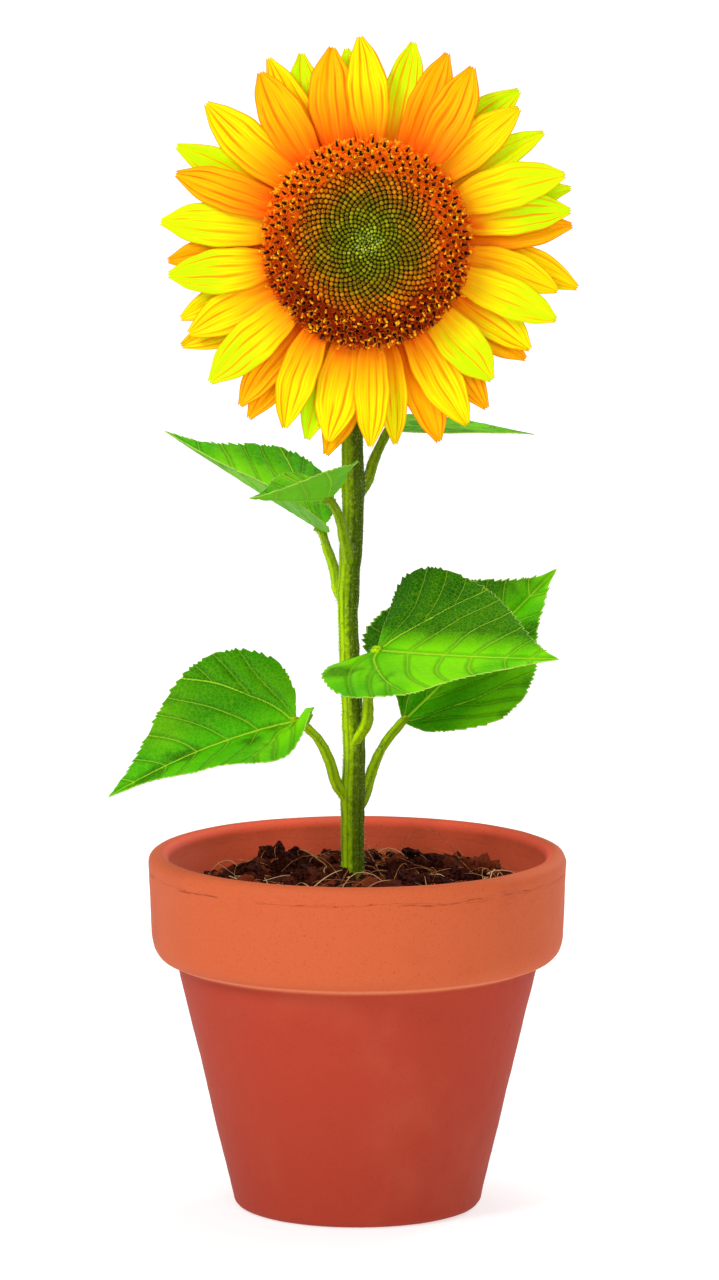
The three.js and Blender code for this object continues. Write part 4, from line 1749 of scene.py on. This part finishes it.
@dataclass
class Disc:
    """The florets of the disc, closed buds within and open florets round them; sizes in millimetres.

    The profile and the core are pairs of radius and height: the bed's face, and the green core behind
    it, which carries the rays down to the receptacle. The skirt is the outermost row of open florets.
    """

    head: Head
    buds: int = 800
    crowding: float = 0.62
    bud_reach: float = 34.5
    bud_height: float = 1.35
    open_florets: int = 280
    skirt_florets: int = 84
    skirt_radius: float = 46.4
    edge: float = 47.3
    scales: int = 46
    scale_reach: float = 6.2
    profile: Sequence[tuple[float, float]] = (
        (0, 2.2),
        (5, 3.0),
        (16.8, 4.6),
        (28, 5.4),
        (34, 5.8),
        (40, 6.4),
        (45, 4.6),
        (48, 0.5),
    )
    core: Sequence[tuple[float, float]] = (
        (48.0, -1.0),
        (46.5, -2.4),
        (43.4, -4.0),
        (42.0, -8.0),
        (42.0, -15.6),
        (0.0, -15.6),
    )

    def height(self, radius: Array) -> Array:
        """The bed's height at a radius."""
        rows = np.array(self.profile, float)
        return np.interp(radius, rows[:, 0], rows[:, 1])

    @staticmethod
    def leaning(angle: Array, lean: Array) -> Array:
        """Directions that lean outward by the given angle in radians."""
        return polar(np.sin(lean), angle, np.cos(lean))

    def bed(self) -> BMesh:
        """The pitted bed that the florets stand in, with its core.

        Returns:
            The bed, with its "core", "ring" and "up" attributes.
        """
        rows = smooth(np.array(self.profile, float), 60)
        bm = turned(np.concatenate([rows, self.core]), 120)
        points = read_points(bm)
        set_values(bm, "core", np.clip((-2.6 * MM - points[:, 2]) / (1.6 * MM), 0, 1))
        points[:, 2] += 0.35 * MM * swell(points, 2.6, 61) * (points[:, 2] > 0)
        write_points(bm, points)
        radius = np.hypot(points[:, 0], points[:, 1]) / MM
        # "ring" marks where the painted shade between the buds ends; "up" runs from the foot of the disc
        # to its top for the bed's painted light and shade.
        set_values(bm, "ring", np.clip((radius - self.bud_reach + 1) / 1.5, 0, 1))
        set_values(bm, "up", 0.5 + 0.5 * points[:, 1] / (self.edge * MM))
        return self.head.outward(bm)

    def bud_ring(self, part: BudRing, seed: int) -> Mesh:
        """The closed buds of one ring, set by the golden angle.

        Args:
            part: The ring.
            seed: Picks the buds' small differences.

        Returns:
            One mesh of them all.
        """
        rng = np.random.default_rng(seed)
        count = np.arange(self.buds)
        radius = self.bud_reach * ((count + 1.5) / self.buds) ** self.crowding
        angle = count * GOLDEN_ANGLE
        # The rings' tints mingle where they meet.
        stray = radius + np.random.default_rng(69).normal(0, 1.3, self.buds) * (radius > 7)
        keep = (stray >= part.low) & (stray < part.high)
        radius, angle = radius[keep], angle[keep]
        # How many buds share a square millimetre sets how broad each can be.
        crowd = self.buds / (2 * math.pi * self.crowding * self.bud_reach**2)
        crowd = crowd * (radius / self.bud_reach) ** (1 / self.crowding - 2)
        n = len(radius)
        breadth = part.size * 0.537 / np.sqrt(crowd) * (0.94 + 0.12 * rng.uniform(size=n))
        sizes = np.stack([breadth, breadth, breadth * self.bud_height], axis=1) * MM
        origins = polar(radius, angle, self.height(radius) + 0.35) * MM
        axes = self.leaning(angle, 0.12 + 0.004 * radius)
        bud = bmesh.new()
        bmesh.ops.create_uvsphere(bud, u_segments=8, v_segments=6, radius=1)
        return copies(bud, self.head.placed(matrices(origins, axes, sizes, angle)), rng.uniform(size=n))

    def ring_places(self) -> tuple[Array, Array, Array]:
        """Where the open florets stand, with the skirt's florets last.

        Returns:
            The radius, angle and outward lean of each.
        """
        count = np.arange(self.open_florets)
        share = (count + 0.5) / self.open_florets
        radius = np.sqrt(self.bud_reach**2 + share * ((self.edge - 1.5) ** 2 - self.bud_reach**2))
        angle = count * GOLDEN_ANGLE + 0.7
        lean = 0.1 + 0.95 * ((radius - self.bud_reach) / (self.edge - self.bud_reach)) ** 1.6
        skirt = np.arange(self.skirt_florets)
        radius = np.concatenate([radius, self.skirt_radius + 0.7 * (skirt % 2)])
        angle = np.concatenate([angle, skirt * 2 * math.pi / self.skirt_florets])
        return radius, angle, np.concatenate([lean, 1.15 + 0.25 * (skirt % 2)])

    @staticmethod
    def corolla() -> BMesh:
        """An open floret's tube, which flares into five pointed lobes.

        Returns:
            The tube, about a millimetre in radius before it is sized.
        """
        bm = bmesh.new()
        bmesh.ops.create_cone(bm, cap_ends=False, segments=10, radius1=0.55, radius2=1.0, depth=2.4)
        top = [v for v in bm.verts if v.co.z > 0]
        for index, vertex in enumerate(sorted(top, key=lambda v: math.atan2(v.co.y, v.co.x))):
            out, up = (1.65, 0.35) if index % 2 else (0.85, -0.25)
            vertex.co = (vertex.co.x * out, vertex.co.y * out, vertex.co.z + up)
        bmesh.ops.solidify(bm, geom=bm.verts[:] + bm.edges[:] + bm.faces[:], thickness=0.16)
        bmesh.ops.recalc_face_normals(bm, faces=bm.faces[:])
        return bm

    @staticmethod
    def anther() -> BMesh:
        """A slender tube of anthers.

        Returns:
            The tube, closed at both ends.
        """
        bm = bmesh.new()
        bmesh.ops.create_cone(bm, cap_ends=True, segments=6, radius1=0.5, radius2=0.42, depth=2.8)
        return bm

    @staticmethod
    def stigma() -> BMesh:
        """A forked stigma whose two arms curl back.

        Returns:
            Both arms as one mesh.
        """
        arms = []
        for way in (1, -1):
            t = np.linspace(0, 1, 6)
            out, up = way * (0.1 + 1.25 * np.sin(t * 2.2)), 1.3 + 0.9 * np.sin(t * 3.0)
            bm, _, _ = tube(np.stack([out, t * 0, up], axis=1), 0.42 * (1 - 0.3 * t), 5)
            cap_ends(bm, 1.0)
            arms.append(bm)
        return joined(arms)

    def ring(self, template: BMesh, keep: Array, lift: float, size: float) -> Mesh:
        """Copies of one part of a floret over the open ring.

        Args:
            template: The part; it is freed.
            keep: Whether each floret has it.
            lift: How far up the floret it sits.
            size: Its scale.

        Returns:
            One mesh of them all.
        """
        # Each part takes the same seed, so the parts of a floret lean the same way.
        rng = np.random.default_rng(90)
        radius, angle, lean = self.ring_places()
        axes = self.leaning(angle, lean) + rng.normal(0, 0.1, (len(radius), 3))
        origins = (polar(radius, angle, self.height(radius)) + unit(axes) * lift) * MM
        sizes = np.full((len(radius), 3), size * MM) * rng.uniform(0.85, 1.2, (len(radius), 1))
        places = matrices(origins, axes, sizes, rng.uniform(0, ANY_TURN, len(radius)))
        return copies(template, self.head.placed(places[keep]), rng.uniform(size=int(keep.sum())))

    def tuft(self) -> Mesh:
        """The pale pointed scales that stand in disorder at the very centre.

        Returns:
            One mesh of them all.
        """
        rng = np.random.default_rng(83)
        count = self.scales
        radius = self.scale_reach * np.sqrt(rng.uniform(0.02, 1, count))
        angle = rng.uniform(0, ANY_TURN, count)
        scale = bmesh.new()
        bmesh.ops.create_cone(scale, cap_ends=True, segments=5, radius1=1, radius2=0.08, depth=1)
        origins = polar(radius, angle, np.full(count, 3.6)) * MM
        axes = rng.normal(0, 0.55, (count, 3)) + [0, 0, 1]
        sizes = np.stack([np.full(count, 0.42)] * 2 + [rng.uniform(1.4, 3.0, count)], axis=1) * MM
        places = self.head.placed(matrices(origins, axes, sizes, angle))
        return copies(scale, places, rng.uniform(size=count))

    def dress(self) -> None:
        """Shows the bed, the buds by ring, and the open florets by part and by painted light and shade."""
        show("disc_bed", self.bed(), BedSkin(), ["disc"])
        for number, part in enumerate(BUD_RINGS):
            name, tints = part.name, (part.colour, part.shade)
            skin = Matter(f"bud_skin_{name}", *tints, 0.34, 0.9, 0.2, part.light, 0.12)
            show(f"buds_{name}", self.bud_ring(part, 70 + number), skin)
        angle = self.ring_places()[1]
        # Open florets high on the disc are painted lit orange and those low on it painted shade, deep red:
        # lit and shaded copies of one floret.
        upness = np.sin(angle) + np.random.default_rng(81).normal(0, 0.22, len(angle))
        lit_and_shaded_corollas = (
            ("upper", upness > 0.25, "#ff8404", "#f05c00", "#ffb414"),
            ("side", (upness <= 0.25) & (upness > -0.45), "#f87004", "#cc4400", "#ffa810"),
            ("lower", upness <= -0.45, "#d45400", "#8c2a00", "#fc9a0c"),
        )
        for name, keep, colour, shade, light in lit_and_shaded_corollas:
            skin = Matter(f"corolla_skin_{name}", colour, shade, 0.5, 1.2, 0.2, light, 0.08)
            show(f"corollas_{name}", self.ring(self.corolla(), keep, 1.3, 1.2), skin)
        ripe = np.arange(len(angle)) < self.open_florets
        show("anthers", self.ring(self.anther(), ripe, 3.4, 1.2), ANTHER)
        forked = ripe & (np.random.default_rng(82).uniform(size=len(angle)) < 0.8)
        show("stigmas", self.ring(self.stigma(), forked, 4.1, 1.3), STIGMA)
        show("centre_tuft", self.tuft(), CENTRE_SCALE)


@dataclass
class Calyx:
    """The green back of the head with its pointed bracts; sizes in millimetres.

    The cone and the front are pairs of radius and height. Each row of bracts has its count, the radii
    of its roots and tips, its turn as a share of one bract, and its slope off the cone in radians.
    """

    head: Head
    cone: Sequence[tuple[float, float]] = ((0, -34.0), (7.2, -33.8), (16, -30), (32, -24), (43.6, -17))
    front: Sequence[tuple[float, float]] = ((43.2, -15), (39.4, -14.6), (39.4, -2.6), (0, -2.6))
    rows: Sequence[tuple[int, float, float, float, float]] = (
        (21, 25, 52, 0.0, 0.3),
        (21, 31, 50, 0.5, 0.24),
        (16, 15, 42, 0.3, 0.36),
    )
    bract_breadth: float = 0.52
    bract_depth: float = 1.2

    @staticmethod
    def bract() -> BMesh:
        """A pointed bract of unit length and width, keeled along its middle.

        Returns:
            The bract as a closed thin solid along +Y.
        """
        bm, lay = unit_grid(6, 12)
        side, along = lay[:, 0] * 2 - 1, lay[:, 1]
        width = np.interp(along, [0, 0.15, 0.35, 0.6, 0.85, 1], [0.6, 0.9, 1.0, 0.72, 0.22, 0.03])
        lift = -0.06 * side**2 * width + 0.05 * np.cos(side * 6) * (1 - along) * 0.3
        write_points(bm, np.stack([side * width * 0.5, along, lift], axis=1))
        # The bract is of unit length here, so this is its thickness in thousandths of that.
        thicken(bm, 22.0)
        return bm

    def bracts(self) -> Mesh:
        """All the bracts in their overlapping rows.

        Returns:
            One mesh of them all.
        """
        rng = np.random.default_rng(71)
        # The bracts stand on the cone's outer part.
        cone = np.array(self.cone[2:])
        places, deals = [], []
        for count, root, tip, offset, row_slope in self.rows:
            for index in range(count):
                angle = (index + offset + rng.uniform(-0.2, 0.2)) / count * 2 * math.pi
                slope = row_slope + rng.uniform(-0.07, 0.07)
                length = (tip - root) * rng.uniform(0.9, 1.08) * MM
                depth = float(np.interp(root, cone[:, 0], cone[:, 1])) - self.bract_depth
                foot = Vector((math.cos(angle) * root, math.sin(angle) * root, depth)) * MM
                turn = Matrix.Rotation(angle - math.pi / 2, 4, "Z") @ Matrix.Rotation(slope, 4, "X")
                size = Matrix.Diagonal((length * self.bract_breadth, length, length, 1))
                places.append(np.array(Matrix.Translation(foot) @ turn @ size))
                deals.append(rng.uniform())
        return copies(self.bract(), self.head.placed(np.array(places)), np.array(deals))

    def receptacle(self) -> BMesh:
        """The fleshy cone behind the flower, ribbed by the bracts' feet.

        Returns:
            One closed mesh.
        """
        bm = turned(np.concatenate([smooth(self.cone, 40), self.front]), 96)
        points = read_points(bm)
        angle = np.arctan2(points[:, 1], points[:, 0])
        behind = (points[:, 2] < -16 * MM) & (np.hypot(points[:, 0], points[:, 1]) > 8 * MM)
        points[:, 2] += (0.5 * np.cos(angle * 21) + 0.3 * swell(points, 9, 72)) * MM * behind
        write_points(bm, points)
        return self.head.outward(bm)

    def dress(self) -> None:
        """Shows the receptacle and the bracts."""
        show("receptacle", self.receptacle(), RECEPTACLE, ["calyx"])
        show("bracts", self.bracts(), BRACT)


# ------------------------------------------------------------------ the studio


@dataclass
class Studio:
    """A white sweep, soft lamps and the camera; places in metres."""

    camera_place: tuple[float, float, float] = (0.001, -4.5, 0.995)
    pitch: float = 9.1
    lens: float = 268.9
    surround: float = 0.5
    half_sweep: float = 20.0
    aim: tuple[float, float, float] = (0.0, 0.0, 0.3)
    lamps: Sequence[tuple[str, tuple[float, float, float], float, float]] = (
        ("key", (-1.6, -1.7, 2.0), 0.9, 38.0),
        ("front", (0.5, -3.3, 1.7), 1.0, 26.0),
        ("top", (0.2, 0.4, 2.3), 0.9, 14.0),
        ("rear", (1.4, 1.8, 1.1), 0.8, 14.0),
    )

    def floor(self) -> None:
        """The paper sweep's flat part, which reaches past the frame on all sides."""
        bm = bmesh.new()
        bmesh.ops.create_grid(bm, x_segments=8, y_segments=8, size=self.half_sweep)
        mesh = bpy.data.meshes.new("sweep")
        bm.to_mesh(mesh)
        bm.free()
        mesh.materials.append(StudioPaper().material())
        sweep = bpy.data.objects.new("sweep", mesh)
        bpy.context.scene.collection.objects.link(sweep)

    def light(self) -> None:
        """The lamps, all aimed at the plant, and an even white surround."""
        aim = Vector(self.aim)
        for name, place, size, power in self.lamps:
            lamp = bpy.data.lights.new(name, "AREA")
            lamp.shape = "DISK"
            lamp.size = size
            lamp.energy = power
            lamp_object = bpy.data.objects.new(name, lamp)
            lamp_object.location = place
            lamp_object.rotation_euler = (aim - Vector(place)).to_track_quat("-Z", "Y").to_euler()
            bpy.context.scene.collection.objects.link(lamp_object)
        world = bpy.data.worlds.new("surround")
        world.use_nodes = True
        backdrop = world.node_tree.nodes["Background"]
        backdrop.inputs["Color"].default_value = (1.0, 1.0, 1.0, 1.0)
        # The surround lights the plant softly but is pure white behind it, like the sweep below.
        seen = add(world.node_tree, "LightPath").outputs["Is Camera Ray"]
        strength = maths(world.node_tree, "MAXIMUM", seen, self.surround)
        world.node_tree.links.new(strength, backdrop.inputs["Strength"])
        bpy.context.scene.world = world

    def shoot(self) -> None:
        """The camera and a plain view transform."""
        camera = bpy.data.cameras.new("camera")
        camera.lens = self.lens
        camera.sensor_width = 36.0
        camera.sensor_fit = "AUTO"
        camera.clip_end = 100.0
        camera_object = bpy.data.objects.new("camera", camera)
        camera_object.location = self.camera_place
        camera_object.rotation_euler = (math.radians(90 - self.pitch), 0, 0)
        bpy.context.scene.collection.objects.link(camera_object)
        bpy.context.scene.camera = camera_object
        bpy.context.scene.view_settings.view_transform = "Standard"
        bpy.context.scene.view_settings.look = "None"

    def dress(self) -> None:
        """Sets up the whole studio."""
        self.floor()
        self.light()
        self.shoot()


@dataclass
class Sunflower:
    """The whole potted plant."""

    head: Head = field(default_factory=Head)

    def dress(self) -> None:
        """Builds every assembly from the ground up."""
        head = self.head
        for assembly in (Pot(), SoilBed(), Greenery(), Calyx(head), Disc(head), Rays(head)):
            assembly.dress()


def main() -> None:
    """Builds the plant and the studio."""
    logging.basicConfig(level=logging.INFO, format="%(name)s %(message)s")
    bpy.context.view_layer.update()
    Sunflower().dress()
    Studio().dress()
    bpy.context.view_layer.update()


if __name__ == "__main__":
    main()
